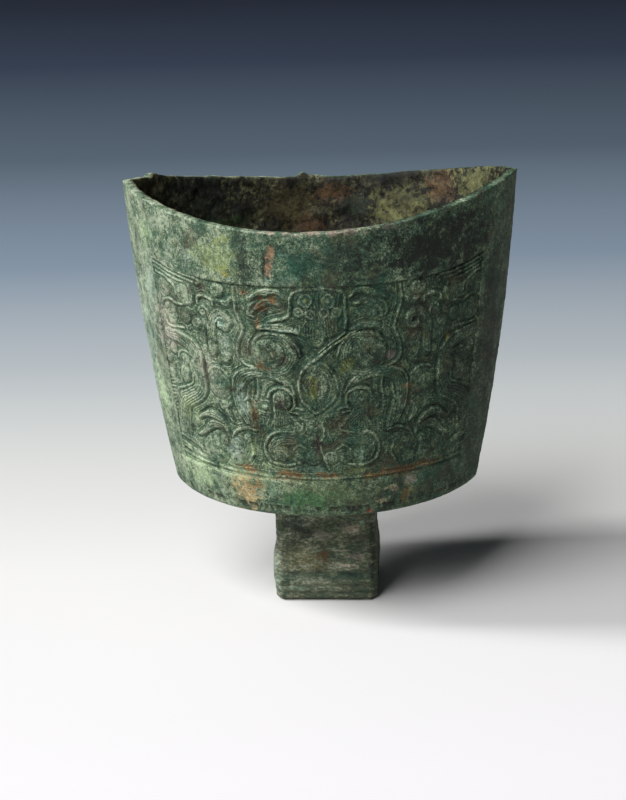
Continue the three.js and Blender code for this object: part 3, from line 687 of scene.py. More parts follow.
# Bell walls, the patina
# Leaded tin bronze, cast and long buried. The patina is mottled from near black through green and
# teal to pale green on rubbed crests, with earth in the bore and patches of rust. It is matt. Some
# colour is painted light: the outside is painted paler toward the lit left end, the bore darker as
# painted shade, and a few patches paint shade, a highlight and the backdrop's reflection.
PATINA = ["#17221b", "#2b4133", "#4d6a51", "#7b9175", "#b8c4aa"]
# The bore's ramp is earth, darkened further as painted shade inside the bell
BORE = ["#0a0c08", "#17180f", "#302e1d", "#50513a", "#84835f"]
TEAL = "#1f5140"
# Blue-grey, for pale corrosion and, on the left strip, a painted reflection of the blue-grey backdrop
BLUE_GREY = "#8a9d8f"
PALE_GREEN = "#a9bf93"
YELLOW_GREEN = "#8c9b69"
BRIGHT_GREEN = "#477f52"
RUST = "#785a36"
OCHRE = "#8a7443"
SAND = "#b6a074"
SAGE_PAINTED_HIGHLIGHT = "#8f9d8b"
COPPER_RED = "#a08468"
PINK_GREY = "#9d9188"
PALE_TEAL = "#7da08c"
DEEP_GREEN = "#1d2822"
UMBER = "#4a3f38"
EARTH = "#4f4330"
WHITE_TEAL = "#a3bfae"
CREAM = "#c2bb95"
MOSS = "#7b8748"
GOLD = "#8f8a3c"
SLATE = "#3b4a4c"
BRICK = "#96472c"
OLIVE = "#504c34"
WORN_PINK = "#b5a292"
# Near black, for dark patina in hollows and for painted shade on the shaded right side
DARK_PATINA_AND_SHADE = "#141c16"
MOTTLE_GRAIN = 8
SPECK_GRAIN = 1.8
DUST_GRAIN = 0.6
GRIT_GRAIN = 1.3
# Painted light: how much paler the outside is painted toward the left end, and from which x to which, in
# millimetres
SIDE_LIGHT_LIFT = 0.4
SIDE_LIGHT_FROM = 24
SIDE_LIGHT_TO = -75
LINE_TONE = 0.12
LINE_DEPTH = 0.34
PATCH_CORE = 0.95
PATCH_REACH = 1.5


def colour(text):
    """An sRGB hex value as linear red, green, blue and alpha."""
    parts = [int(text[i : i + 2], 16) / 255 for i in (1, 3, 5)]
    return (*[p / 12.92 if p <= 0.04045 else ((p + 0.055) / 1.055) ** 2.4 for p in parts], 1)


def add(tree, kind, inputs, output=0, **settings):
    """The output of a new node with those settings, whose inputs are set or linked."""
    node = tree.nodes.new("ShaderNode" + kind)
    for setting, value in settings.items():
        setattr(node, setting, value)
    for socket, value in inputs.items():
        if isinstance(value, bpy.types.NodeSocket):
            tree.links.new(value, node.inputs[socket])
        else:
            node.inputs[socket].default_value = value
    return node.outputs[output] if len(node.outputs) else None


def blotches(tree, place, grain, low, high, strength, seed):
    """Blotches of that grain in millimetres, from 0 where the noise is low to the strength."""
    moved = add(tree, "Mapping", {"Vector": place, "Location": (seed, 2 * seed, 3 * seed)})
    grained = {"Vector": moved, "Scale": 1 / (grain * MM), "Detail": 6, "Roughness": 0.62}
    cloud = add(tree, "TexNoise", grained, "Fac")
    edges = {"Value": cloud, "From Min": low, "From Max": high, "To Max": strength}
    return add(tree, "MapRange", edges, interpolation_type="SMOOTHSTEP")


def ragged_patch(tree, place, ragged, centre, radii, strength):
    """A ragged patch round a point of the bell, in millimetres, that thins out at its edge."""
    shift = {"Location": [-c / r for c, r in zip(centre, radii)], "Scale": [1 / (r * MM) for r in radii]}
    offset = add(tree, "Mapping", {"Vector": place, **shift})
    away = add(tree, "VectorMath", {0: offset}, "Value", operation="LENGTH")
    torn = add(tree, "Math", {0: ragged, 1: away}, operation="ADD")
    edges = {"Value": torn, "From Min": PATCH_REACH, "From Max": PATCH_CORE, "To Max": strength}
    return add(tree, "MapRange", edges, interpolation_type="SMOOTHSTEP")


def patinated_bronze(name, lift, ramps, patches, bore_patches=(), streak=1, speck=0.34, powder=0.47):
    """The patina, paler by the lift and streaked level by the streak, with its ramps and patches for
    the outside and the bore, and how strong its specks and its finest powder are. It also paints light:
    paler toward the left end, where the lamps stand, and weaker crests toward the shaded right."""
    material = bpy.data.materials.new(name)
    material.use_nodes = True
    tree = material.node_tree
    tree.nodes.clear()
    place = add(tree, "TexCoord", {}, "Object")
    drawn = add(tree, "Mapping", {"Vector": place, "Scale": (1, 1, streak)})
    crest, inside, furrow, furrowed = [
        add(tree, "Attribute", {}, "Fac", attribute_name=value)
        for value in ("crest", "inside", "furrow", "furrowed")
    ]
    turn = add(tree, "Math", {0: furrow, 1: 2 * math.pi}, operation="MULTIPLY")
    wave = add(tree, "Math", {0: turn}, operation="COSINE")
    line = add(tree, "Math", {0: wave, 1: furrowed}, operation="MULTIPLY")

    # One number runs from dark to pale: mottle and specks, moved by crest, hollow and furrow, with painted
    # light that makes it paler toward the left end, where the lamps stand, and painted shade that weakens
    # the crests and furrows toward the shaded right end
    mottle = blotches(tree, drawn, MOTTLE_GRAIN, 0.34, 0.66, 0.38, 0.11)
    specks = blotches(tree, drawn, SPECK_GRAIN, 0.36, 0.64, speck, 0.23)
    dust = blotches(tree, drawn, DUST_GRAIN, 0.36, 0.64, powder, 0.37)
    east = add(tree, "SeparateXYZ", {0: place}, "X")
    westward = {"Value": east, "From Min": SIDE_LIGHT_FROM * MM, "From Max": SIDE_LIGHT_TO * MM}
    # Painted light: the outside is painted paler toward the left end, which faces the lamps
    painted_side_light = add(tree, "MapRange", {**westward, "To Max": SIDE_LIGHT_LIFT})
    rubbing = add(tree, "MapRange", {"Value": crest, "To Min": -0.5, "To Max": 0.5})
    lining = add(tree, "Math", {0: line, 1: -LINE_TONE, 2: rubbing}, operation="MULTIPLY_ADD")
    rubbed = add(tree, "Math", {0: specks, 1: dust}, operation="ADD")
    rubbed = add(tree, "Math", {0: rubbed, 1: 1.2, 2: 0.2}, operation="MULTIPLY_ADD")
    # Painted shade: crests and furrows show less toward the right end, which lies in shade
    painted_side_shade = add(tree, "MapRange", {**westward, "To Min": 0.5, "To Max": 1.25})
    rubbed = add(tree, "Math", {0: rubbed, 1: painted_side_shade}, operation="MULTIPLY")
    pale = add(tree, "Math", {0: lining, 1: rubbed, 2: mottle}, operation="MULTIPLY_ADD")
    for share in (specks, dust, painted_side_light):
        pale = add(tree, "Math", {0: pale, 1: share}, operation="ADD")
    pale = add(tree, "Math", {0: pale, 1: lift - 0.18}, operation="ADD")
    calm = add(tree, "Math", {0: dust, 1: -0.6, 2: pale}, operation="MULTIPLY_ADD")
    tones = []
    for ramp, number in zip(ramps, (pale, calm)):
        scale = add(tree, "ValToRGB", {"Fac": number})
        for position in (0.28, 0.52, 0.76):
            scale.node.color_ramp.elements.new(position)
        for element, hue in zip(scale.node.color_ramp.elements, ramp):
            element.color = colour(hue)
        tones.append(scale)

    # Three grains of noise tear the edges of the patches, and thin coats lie over all the outside
    ragged = 0
    for grain, amount, seed in ((5, 0.5, 0.77), (2.2, 0.6, 0.47), (0.9, 0.35, 0.61)):
        torn = blotches(tree, drawn, grain, 0.32, 0.68, amount, seed)
        ragged = add(tree, "Math", {0: torn, 1: ragged}, operation="ADD")
    coats = [
        (TEAL, blotches(tree, drawn, 11, 0.46, 0.68, 0.6, 0.53)),
        (EARTH, blotches(tree, drawn, 9, 0.5, 0.7, 0.6, 0.95)),
        (YELLOW_GREEN, blotches(tree, drawn, 3.2, 0.52, 0.74, 0.45, 0.41)),
        (PALE_TEAL, blotches(tree, drawn, 1.1, 0.54, 0.72, 0.25, 0.29)),
        (EARTH, blotches(tree, drawn, 1.3, 0.54, 0.72, 0.3, 0.83)),
    ]
    tone, bore_tone = tones
    for hue, cover in coats:
        tone = add(tree, "Mix", {0: cover, 6: tone, 7: colour(hue)}, 2, data_type="RGBA")

    # Patches of other corrosion lie over it, with the same grain and the same light on the crests
    patched_tones = []
    for ground, number, laid in ((tone, pale, patches), (bore_tone, calm, bore_patches)):
        shade = add(tree, "MapRange", {"Value": number, "To Min": -0.9, "To Max": 0.9})
        patched = 0
        for hue, *outline in laid:
            cover = ragged_patch(tree, place, ragged, *outline)
            patched = add(tree, "Math", {0: cover, 1: patched}, operation="MAXIMUM")
            ground = add(tree, "Mix", {0: cover, 6: ground, 7: colour(hue)}, 2, data_type="RGBA")
        shade = add(tree, "Math", {0: shade, 1: patched, 2: 1}, operation="MULTIPLY_ADD")
        shaded = add(tree, "VectorMath", {0: ground, "Scale": shade}, operation="SCALE")
        patched_tones.append(shaded)
    outer_tone, inner_tone = patched_tones
    tone = add(tree, "Mix", {0: inside, 6: outer_tone, 7: inner_tone}, 2, data_type="RGBA")

    # Grit and the furrows' own depth, on a dull skin that shines a little where it is rubbed
    grain = {"Vector": drawn, "Scale": 1 / (GRIT_GRAIN * MM), "Detail": 7, "Roughness": 0.75}
    grit = add(tree, "TexNoise", grain, "Fac")
    carved = add(tree, "Math", {0: line, 1: -LINE_DEPTH, 2: grit}, operation="MULTIPLY_ADD")
    bump = add(tree, "Bump", {"Height": carved, "Strength": 0.9, "Distance": 0.6 * MM})
    matt_share = {"Value": specks, "From Max": 0.34, "To Min": 0.48, "To Max": 0.7}
    rough = add(tree, "MapRange", matt_share)
    skin = {"Base Color": tone, "Roughness": rough, "Metallic": 0.1, "Normal": bump}
    surface = add(tree, "BsdfPrincipled", skin)
    add(tree, "OutputMaterial", {"Surface": surface})
    return material


def front_place(x, z):
    """A point of the front wall's outside, from millimetres along it and over the base underside."""
    share = x / (wall_arc(z)[0] * float(reach(z)))
    return tuple(wall_points(FRONT, share, z, 0) / MM)


# The patches from left to right and top to bottom: hue, place (x, z) on the unrolled wall, radii
# across, into and up the wall, and strength
FRONT_PATCHES = [
    # Broad washes, from the left ridge to the right; the first two, blue-grey, paint the backdrop's
    # reflection on the left strip
    (BLUE_GREY, (-95, 60), (14, 30, 60), 0.72),
    (BLUE_GREY, (-80, 92), (6, 12, 20), 0.5),
    (PALE_GREEN, (-80, 42), (7, 12, 20), 0.5),
    (PALE_GREEN, (-56, 13), (26, 20, 15), 0.5),
    (PALE_GREEN, (-32, 18), (26, 16, 18), 0.5),
    (YELLOW_GREEN, (2, 12), (34, 16, 14), 0.35),
    (PINK_GREY, (-69, 76), (8, 20, 22), 0.5),
    (PINK_GREY, (-47, 62), (8, 12, 13), 0.3),
    (YELLOW_GREEN, (-58, 42), (8, 14, 10), 0.45),
    # Painted shade: the near black and deep green washes over the right side stand for its shade
    (DARK_PATINA_AND_SHADE, (52, 111), (48, 40, 19), 0.9),
    (DEEP_GREEN, (64, 60), (22, 30, 50), 0.4),
    (DEEP_GREEN, (84, 70), (9, 20, 60), 0.65),
    (UMBER, (44, 88), (9, 12, 14), 0.35),
    # The plain band over the mask
    (PALE_GREEN, (-80, 114), (8, 12, 9), 0.5),
    (BLUE_GREY, (-52.5, 108), (5, 10, 5), 0.5),
    (YELLOW_GREEN, (-38, 109.5), (17, 12, 12), 0.65),
    (MOSS, (-36, 116.5), (6, 8, 4), 0.55),
    (MOSS, (-35, 104), (5, 8, 3.4), 0.6),
    (GOLD, (-34.5, 102.8), (3.4, 5, 2.2), 0.75),
    (DEEP_GREEN, (-25.5, 109), (4.6, 10, 13), 0.8),
    (TEAL, (-3, 109), (14, 12, 12), 0.8),
    (DEEP_GREEN, (14, 110), (18, 14, 10), 0.4),
    (PALE_TEAL, (-9, 111.8), (4, 5, 0.8), 0.6),
    (PALE_TEAL, (-11.5, 105.9), (4.4, 5, 0.9), 0.7),
    (PALE_TEAL, (-7, 102.5), (3, 5, 0.9), 0.5),
    (WHITE_TEAL, (-16.8, 101), (1.3, 5, 2.6), 0.8),
    (DARK_PATINA_AND_SHADE, (-17.7, 110), (1.3, 5, 9), 0.7),
    (COPPER_RED, (-14.7, 113.4), (2.1, 5, 4.2), 1),
    (COPPER_RED, (-15.1, 110.6), (2.1, 5, 4.6), 1),
    (COPPER_RED, (-15.6, 107.6), (2.1, 5, 4.6), 1),
    (COPPER_RED, (-16, 105), (1.9, 5, 3.4), 0.95),
    (WORN_PINK, (-17, 121.8), (9, 6, 2.4), 0.8),
    (WORN_PINK, (8, 121), (40, 9, 2.8), 0.7),
    # Horn, brow and temple
    (DARK_PATINA_AND_SHADE, (-20, 90), (6, 8, 7), 0.55),
    (DARK_PATINA_AND_SHADE, (-43.6, 84), (2, 5, 5), 0.5),
    (DARK_PATINA_AND_SHADE, (-45, 91.5), (3, 5, 1.8), 0.5),
    (DARK_PATINA_AND_SHADE, (2, 90), (9, 8, 8), 0.4),
    (WHITE_TEAL, (-37.6, 83), (3, 5, 3), 0.6),
    (BLUE_GREY, (-36, 73), (4, 7, 7), 0.5),
    (WHITE_TEAL, (-10.5, 81.6), (6.5, 6, 1.4), 0.6),
    (UMBER, (-47.4, 62), (1.1, 5, 11), 0.6),
    (RUST, (-26.5, 96), (2.6, 5, 2.6), 0.8),
    (RUST, (-15, 94), (2.6, 5, 3), 0.85),
    (RUST, (-19.6, 91), (2.8, 6, 7), 0.8),
    (RUST, (-21.4, 84), (2.6, 6, 6), 0.7),
    (GOLD, (-2, 93.8), (1, 4, 1), 0.7),
    # Eye, cheek and nose
    (OLIVE, (-15.5, 71.5), (6, 7, 5.6), 0.6),
    (DARK_PATINA_AND_SHADE, (-6, 73.5), (3, 5, 6), 0.5),
    (DARK_PATINA_AND_SHADE, (-5.5, 64), (3, 6, 7), 0.4),
    (DARK_PATINA_AND_SHADE, (24, 70), (10, 9, 8), 0.45),
    (PALE_GREEN, (-21.6, 72), (2, 5, 2.2), 0.5),
    (DEEP_GREEN, (-18, 72.2), (1.5, 4, 1.5), 0.7),
    (UMBER, (-12, 69), (3.2, 5, 3.4), 0.6),
    (RUST, (-20.5, 66), (6, 6, 2.5), 0.8),
    (BLUE_GREY, (-29.5, 50), (4, 6, 11), 0.75),
    (RUST, (-24.6, 46), (3, 6, 12), 0.6),
    (UMBER, (-14, 51.5), (8, 6, 4.6), 0.6),
    (DARK_PATINA_AND_SHADE, (-19, 45.5), (1.8, 5, 3), 0.5),
    (MOSS, (-0.5, 58.5), (3.2, 6, 8), 0.7),
    (MOSS, (12.4, 67.4), (4.6, 6, 4.6), 0.6),
    (OLIVE, (-14, 31), (11, 8, 9), 0.55),
    (UMBER, (0.3, 35), (2.2, 6, 12), 0.7),
    (OLIVE, (7, 40.5), (5, 6, 6), 0.6),
    (BLUE_GREY, (-35, 28), (6.6, 8, 9), 0.75),
    (PALE_GREEN, (-27, 29), (2.6, 6, 4), 0.6),
    (TEAL, (15, 40), (4.6, 6, 12), 0.6),
    (PALE_TEAL, (17.8, 28), (1.1, 6, 5), 0.6),
    (GOLD, (56, 73), (1, 4, 3.4), 0.7),
    (PINK_GREY, (30, 70), (4.4, 6, 2.2), 0.5),
    (RUST, (38, 55.5), (5, 8, 2.4), 0.55),
    # The foot of the panel and the plain band under the mask
    (RUST, (-29, 20.4), (8, 8, 3.2), 0.85),
    (RUST, (-10.5, 19.6), (10, 8, 2.5), 0.9),
    (PALE_TEAL, (-1, 22), (10, 6, 1.8), 0.55),
    (RUST, (4, 19.4), (8, 8, 2.4), 0.8),
    (YELLOW_GREEN, (14, 21), (8, 8, 3.4), 0.7),
    (OCHRE, (21.4, 18), (5, 8, 2.8), 0.8),
    (RUST, (32, 18.6), (13, 10, 3), 0.85),
    (RUST, (47, 19.6), (13, 12, 2.6), 0.7),
    (CREAM, (-15, 17.1), (7, 5, 1.2), 0.65),
    (SAND, (-31, 10), (11, 10, 12), 0.85),
    (RUST, (-27.4, 13), (5, 6, 7), 0.5),
    (PALE_GREEN, (-51, 11), (2.2, 5, 5), 0.5),
    (SLATE, (-43.4, 13), (3, 6, 4.6), 0.55),
    (PALE_TEAL, (-19, 12), (4, 6, 5), 0.35),
    (BRIGHT_GREEN, (-5, 8.6), (18, 14, 7), 0.65),
    (CREAM, (26, 6.1), (4.2, 5, 2.6), 1),
    (CREAM, (31.2, 11.6), (4.6, 5, 3.4), 0.85),
    (OCHRE, (36.8, 8), (5, 6, 6), 0.6),
    (PINK_GREY, (38.8, 13.5), (3.4, 6, 3.4), 0.6),
    (BRICK, (20.4, 1.6), (2, 4, 1.6), 0.85),
]
front_patches = [(hue, front_place(*place), radii, strength) for hue, place, radii, strength in FRONT_PATCHES]
# A material holds only the patches that reach its own half, which keeps it quick to render
front_patinas = {}
for hand_name, hand in (("left", -1), ("right", 1)):
    reaching = [patch for patch in front_patches if hand * patch[1][0] > -PATCH_REACH * patch[2][0]]
    front_patinas[f"front_wall_{hand_name}"] = patinated_bronze(
        f"patinated_bronze_front_{hand_name}", 0.0, (PATINA, BORE), reaching
    )
# The back's three patches, then the bore's, from its dark left end to the lit right one. The bore's
# patches carry painted light over its earth and rust: near black painted shade at the left end and in
# the band under the lip, and pale painted light at the right end
back_patina = patinated_bronze("patinated_bronze_back", 0.02, (PATINA, BORE), [
    (YELLOW_GREEN, (30, 50, 160), (16, 14, 12), 0.5),
    (RUST, (-28, 48, 120), (8, 10, 14), 0.6),
    (BRIGHT_GREEN, (8, 46, 62), (18, 12, 7), 0.6),
], [
    # Painted shade at the bore's left end
    ("#242b25", (-58, 34, 160), (42, 34, 60), 0.9),
    ("#34502a", (-46, 38, 152), (18, 16, 8), 0.8),
    ("#57502f", (-16, 51, 157), (20, 15, 16), 0.75),
    ("#2a3c2a", (13, 52, 158), (10, 10, 9), 0.75),
    ("#6c5030", (3, 53, 164), (13, 12, 6), 0.75),
    ("#6a4e32", (-8, 52, 150), (12, 12, 7), 0.75),
    ("#78794d", (34, 45, 160), (22, 20, 15), 0.8),
    ("#888a58", (27, 48, 154), (14, 16, 7), 0.65),
    ("#7a6042", (50, 36, 170), (12, 16, 11), 0.7),
    ("#8d905f", (64, 20, 173), (16, 26, 18), 0.75),
    # Painted shade under the lip
    ("#171d17", (24, 50, 171), (26, 14, 5), 0.8),
])
for piece_name, half in wall_pieces.items():
    half.data.materials.append(front_patinas.get(piece_name, back_patina))

# Base plate
# The almond-shaped plate closes the body below. It is cast with the walls, its edge is rounded by
# wear, and the socket of the shank opens through it into the bell.
BASE_EDGE_ROUND = 2
EDGE_STEPS = 8
RIM_STATIONS = 160
SHANK_WIDTH = 42.5
SHANK_DEPTH = 32
SHANK_WALL = 4.5
SHANK_CORNER = 4
SOCKET = (SHANK_WIDTH - 2 * SHANK_WALL, SHANK_DEPTH - 2 * SHANK_WALL, SHANK_CORNER - 0.5)
UNDERSIDE_LOOPS = 39
FLOOR_LOOPS = 24


def skin_noise(points):
    """The walls' corroded skin: how far it stands proud, in millimetres."""
    return corroded(points, SKIN_GRAIN, SKIN_WANDER, 3) + corroded(points, PIT_GRAIN, PIT_DEPTH, 11)


def almond(rise, inset):
    """The corroded outline of the body, from the left ridge round the front and then the back."""
    share = np.linspace(-1, 1, RIM_STATIONS, endpoint=False)
    rises = np.full(share.shape, float(rise))
    sides = []
    for face in (FRONT, BACK):
        plain = wall_points(face, share, rises, inset)
        to_ridge = (1 - abs(share)) * reach(rises) * wall_arc(rises)[0]
        worn = RIDGE_WEAR * np.exp(-to_ridge / RIDGE_REACH)
        side = wall_points(face, share, rises, inset + worn - skin_noise(plain))
        side[0, 1] = 0
        sides.append(side)
    return np.vstack([*sides, sides[0][:1]])


def box_outline(width, depth, corner, heading):
    """A rectangle's points in each heading, in millimetres, and its outward normals, which turn
    evenly round each corner. The corner itself is a flat facet."""
    ux, uy = np.cos(heading), np.sin(heading)
    size = np.minimum(width / 2 / np.maximum(abs(ux), 1e-6), depth / 2 / np.maximum(abs(uy), 1e-6))
    edge = np.stack([size * ux, size * uy], -1)
    limit = np.array([width / 2 - corner, depth / 2 - corner])
    core = np.clip(edge, -limit, limit)
    normal = edge - core
    normal /= np.maximum(np.linalg.norm(normal, axis=-1, keepdims=True), 1e-6)
    turned = np.abs(normal)
    facet = np.maximum(turned.max(-1), turned.sum(-1) / math.sqrt(2))[:, None]
    return core + normal * corner / facet, normal


def at_height(outline, height):
    return np.insert(outline, 2, height, axis=1) * MM


plate_loops = [almond(PLATE_TOP, 0)]
for step in range(EDGE_STEPS, -1, -1):
    turn = math.pi / 2 * step / EDGE_STEPS
    rise, inset = 1 - math.cos(turn), 1 - math.sin(turn)
    plate_loops.append(almond(BASE_EDGE_ROUND * rise, BASE_EDGE_ROUND * inset))
rim_in = plate_loops[-1]
socket_xy, _ = box_outline(*SOCKET, np.arctan2(rim_in[:, 1], rim_in[:, 0]))
hole_low = at_height(socket_xy, BODY_BOTTOM)
hole_high = at_height(socket_xy, BODY_BOTTOM + PLATE_TOP)
shank_half = np.array([SHANK_WIDTH, SHANK_DEPTH]) / 2 * MM
for share in np.linspace(0, 1, UNDERSIDE_LOOPS + 1)[1:]:
    loop = rim_in + (hole_low - rim_in) * share
    past_shank = (abs(loop[:, :2]) / shank_half).max(-1)
    loop[:, 2] += skin_noise(loop) * smooth(1.02, 1.2, past_shank) * MM
    plate_loops.append(loop)
for share in np.linspace(0, 1, FLOOR_LOOPS):
    plate_loops.append(hole_high + (plate_loops[0] - hole_high) * share)
plate_points = np.array(plate_loops)
plate = skin_mesh("base_plate_dressed", plate_points, closed_ring=True)
bore_floor = np.zeros(plate_points.shape[:2])
bore_floor[-FLOOR_LOOPS:-1] = 1
paint_values(plate, crest=0.5, inside=bore_floor[:-1, :-1], furrow=0, furrowed=0)
plate_top = BODY_BOTTOM + PLATE_TOP
low_patches = [patch for patch in front_patches if patch[1][2] - PATCH_REACH * patch[2][2] < plate_top]
plate.data.materials.append(patinated_bronze("patinated_bronze_base", 0.0, (PATINA, BORE), low_patches))
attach(plate, "root")
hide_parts("base_plate")

# Shank
# A hollow stem of the same pour, open at its end for a wooden handle. It swells into a thick collar
# at the open end, with a deep groove and two fine ones. Brown, olive and teal patina, rubbed, with a
# painted highlight down its left edge and painted shade in the deep groove.
SHANK_LENGTH = BODY_BOTTOM
# Heights over the open end, and how far the outside stands proud there
SWELLING = [(0, 0.6), (3.6, 0.9), (9.5, 1.5), (14, 1.9), (18, 1.5), (22, 1.1), (25, 0.5), (28, 0), (60, 0)]
# Each groove's height over the open end, half width and depth
GROOVES = [(13, 1.6, 1.1), (7.3, 0.8, 0.6), (3.9, 0.6, 0.4)]
END_ROUND = 2.6
END_HEIGHTS = [0, 0.08, 0.25, 0.5, 0.9, 1.4]
STEM_FROM = 1.8
STEM_STEP = 0.4
STATIONS = 420
SOCKET_LOOPS = 50
RELIEF_REACH = 2
# Where a corner's facet meets the front or the back, the normal leans this far and the edge is rubbed
EDGE_NORMAL = 0.39
EDGE_SPREAD = 0.1
EDGE_RUB = 0.8

heading = np.linspace(0, 2 * math.pi, STATIONS + 1)
shank_xy, shank_normal = box_outline(SHANK_WIDTH, SHANK_DEPTH, SHANK_CORNER, heading)
bore_xy, bore_normal = box_outline(*SOCKET, heading)


def shank_proud(height):
    """How far the outside stands proud of the plain stem, at a height over the open end."""
    proud = np.interp(height, *zip(*SWELLING)) * (0.75 - 0.25 * shank_normal[:, 0])
    for groove, half_width, depth in GROOVES:
        proud = proud - depth * abs(shank_normal[:, 1]) * np.exp(-(((height - groove) / half_width) ** 2))
    turned = max(0, 1 - height / END_ROUND)
    return proud - END_ROUND * (1 - math.sqrt(1 - turned**2))


shank_loops, shank_normals, shank_relief = [], [], []
edge_wear = EDGE_RUB * np.exp(-(((abs(shank_normal[:, 0]) - EDGE_NORMAL) / EDGE_SPREAD) ** 2))
for height in [*END_HEIGHTS, *np.arange(STEM_FROM, SHANK_LENGTH, STEM_STEP), SHANK_LENGTH]:
    proud = shank_proud(height)
    around = 2 * proud
    if height > RELIEF_REACH:
        around = shank_proud(height - RELIEF_REACH) + shank_proud(height + RELIEF_REACH)
    shank_loops.append(at_height(shank_xy + shank_normal * proud[:, None], height))
    shank_normals.append(np.insert(shank_normal, 2, 0, axis=1))
    shank_relief.append(proud - around / 2 + edge_wear)
for height in np.linspace(SHANK_LENGTH, 0, SOCKET_LOOPS):
    shank_loops.append(at_height(bore_xy, height))
    shank_normals.append(np.insert(-bore_normal, 2, 0, axis=1))
    shank_relief.append(0 * heading)
shank_points, shank_normals, shank_relief = (
    np.array(rows + rows[:1]) for rows in (shank_loops, shank_normals, shank_relief)
)
height_up = shank_points[..., 2] / MM
fade = smooth(0, 1.2, height_up) * smooth(SHANK_LENGTH, SHANK_LENGTH - 0.5, height_up)
shank_noise = corroded(shank_points, 8, 0.3, 5) + corroded(shank_points, PIT_GRAIN, PIT_DEPTH, 13)
shank_points = shank_points + shank_normals * (shank_noise * fade)[..., None] * MM
shank_points[:, -1] = shank_points[:, 0]
shank = skin_mesh("shank_dressed", shank_points, closed_ring=True)
in_socket = np.zeros(shank_relief.shape)
in_socket[-SOCKET_LOOPS - 1 : -1] = 1
shank_crest = (0.5 + 0.35 * shank_relief)[:-1, :-1]
paint_values(shank, crest=shank_crest, inside=in_socket[:-1, :-1], furrow=0, furrowed=0)
SHANK_PATINA = ["#27312a", "#465044", "#656e56", "#8d947a", "#cdd0bc"]
PALE_STONE = "#b4aa98"
shank.data.materials.append(patinated_bronze("patinated_bronze_shank", 0.12, (SHANK_PATINA, BORE), [
    (SLATE, (-13, -17, 37), (9, 8, 8), 0.6),
    (DEEP_GREEN, (-8, -17, 31), (11, 8, 6), 0.6),
    ("#6f6b49", (-9, -17, 20), (15, 8, 9), 0.65),
    (DEEP_GREEN, (20, -17, 26), (3, 8, 26), 0.6),
    (PALE_STONE, (10.4, -17, 34), (8, 8, 4), 0.75),
    ("#a39c90", (-1, -17, 30.8), (7, 8, 3.4), 0.65),
    (DARK_PATINA_AND_SHADE, (12.5, -17, 29), (2.6, 6, 2.4), 0.7),
    (PALE_STONE, (6.5, -17, 23.9), (10, 8, 0.7), 0.8),
    (DEEP_GREEN, (5, -17, 21.4), (4.6, 8, 2.4), 0.6),
    (PINK_GREY, (13, -17, 20.6), (5, 8, 3), 0.6),
    (PALE_STONE, (9, -17, 17.2), (9, 8, 1), 0.8),
    (RUST, (-0.6, -17, 21.5), (4.4, 6, 7), 0.7),
    (PALE_TEAL, (15.6, -17, 36.6), (2, 5, 2), 0.8),
    # Slate along the collar's deep groove: dark patina, with painted shade in the groove
    (SLATE, (-14, -18, 12.8), (8, 8, 1.4), 0.8),
    (SLATE, (10, -18, 13), (8, 8, 1.7), 0.8),
    (PALE_TEAL, (-12, -18, 6.4), (5, 6, 1.2), 0.6),
    ("#69735f", (0, -18, 5), (28, 8, 9), 0.55),
    # Painted highlight: a sage strip down the left edge stands for the lit left face
    (SAGE_PAINTED_HIGHLIGHT, (-22.8, -16, 22), (4.2, 8, 60), 0.95),
], streak=1.8, speck=0.4, powder=0.3))
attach(shank, "root")
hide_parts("shank")

# Chaplets
# Square bronze spacers that held the core off the mould. The pour gripped them, so they lie flush
# in the plain metal over and under the mask, and only a faint square shows.
CHAPLET_SIDE = 9
CHAPLET_PROUD = 0.05
CHAPLET_CUTS = 14
CHAPLET_SEAM = 0.35
CHAPLET_SETBACK = 0.2
for node_name in sorted(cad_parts):
    if "chaplet" not in node_name:
        continue
    face = FRONT if node_name.startswith("front") else BACK
    low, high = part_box(node_name)
    middle_rise = (low.z + high.z) / 2 / MM - BODY_BOTTOM
    middle_x = face * (low.x + high.x) / 2 / MM
    radius = wall_arc(middle_rise)[0]
    middle_angle = math.asin(middle_x / (radius - WALL / 2))
    bm = bmesh.new()
    bmesh.ops.create_cube(bm, size=1)
    bmesh.ops.subdivide_edges(bm, edges=bm.edges, cuts=CHAPLET_CUTS, use_grid_fill=True)
    flat = np.array([v.co for v in bm.verts])
    rise = middle_rise + CHAPLET_SIDE * flat[:, 2]
    angle = middle_angle + CHAPLET_SIDE * flat[:, 0] / radius
    edge_dip = CHAPLET_SEAM * smooth(0.44, 0.5, np.maximum(abs(flat[:, 0]), abs(flat[:, 2])))
    on_skin = wall_points(face, angle / reach(rise), rise, 0 * rise)
    outer = -CHAPLET_PROUD + edge_dip - skin_noise(on_skin)
    depth = np.where(flat[:, 1] < 0, outer, WALL - CHAPLET_SETBACK)
    for vertex, place in zip(bm.verts, wall_points(face, angle / reach(rise, depth), rise, depth)):
        vertex.co = place
    spacer = finished(node_name + "_dressed", bm)
    paint_values(spacer, crest=0.5 - edge_dip, inside=flat[:, 1] > 0, furrow=0, furrowed=0)
    own_half = front_patinas["front_wall_left" if middle_x < 0 else "front_wall_right"]
    spacer.data.materials.append(own_half if face == FRONT else back_patina)
    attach(spacer, "root")
    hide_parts(node_name)

# Floor
# White paper lies under the bell and shades to dark blue-grey far behind it, as graded studio
# paper does. Its colours are given by metres behind the bell, along the camera's look.
FLOOR_HALF = 20
PAPER = [(-0.15, "#eeecee"), (0.02, "#e9e8e7"), (0.15, "#d6d7d4"), (0.33, "#b0b7bb"),
         (0.6, "#8190a0"), (1.1, "#586572"), (2.0, "#3c4657"), (3.2, "#343b49")]
BOUNCE = "#b0b0ac"
FAR_TONE = "#323947"

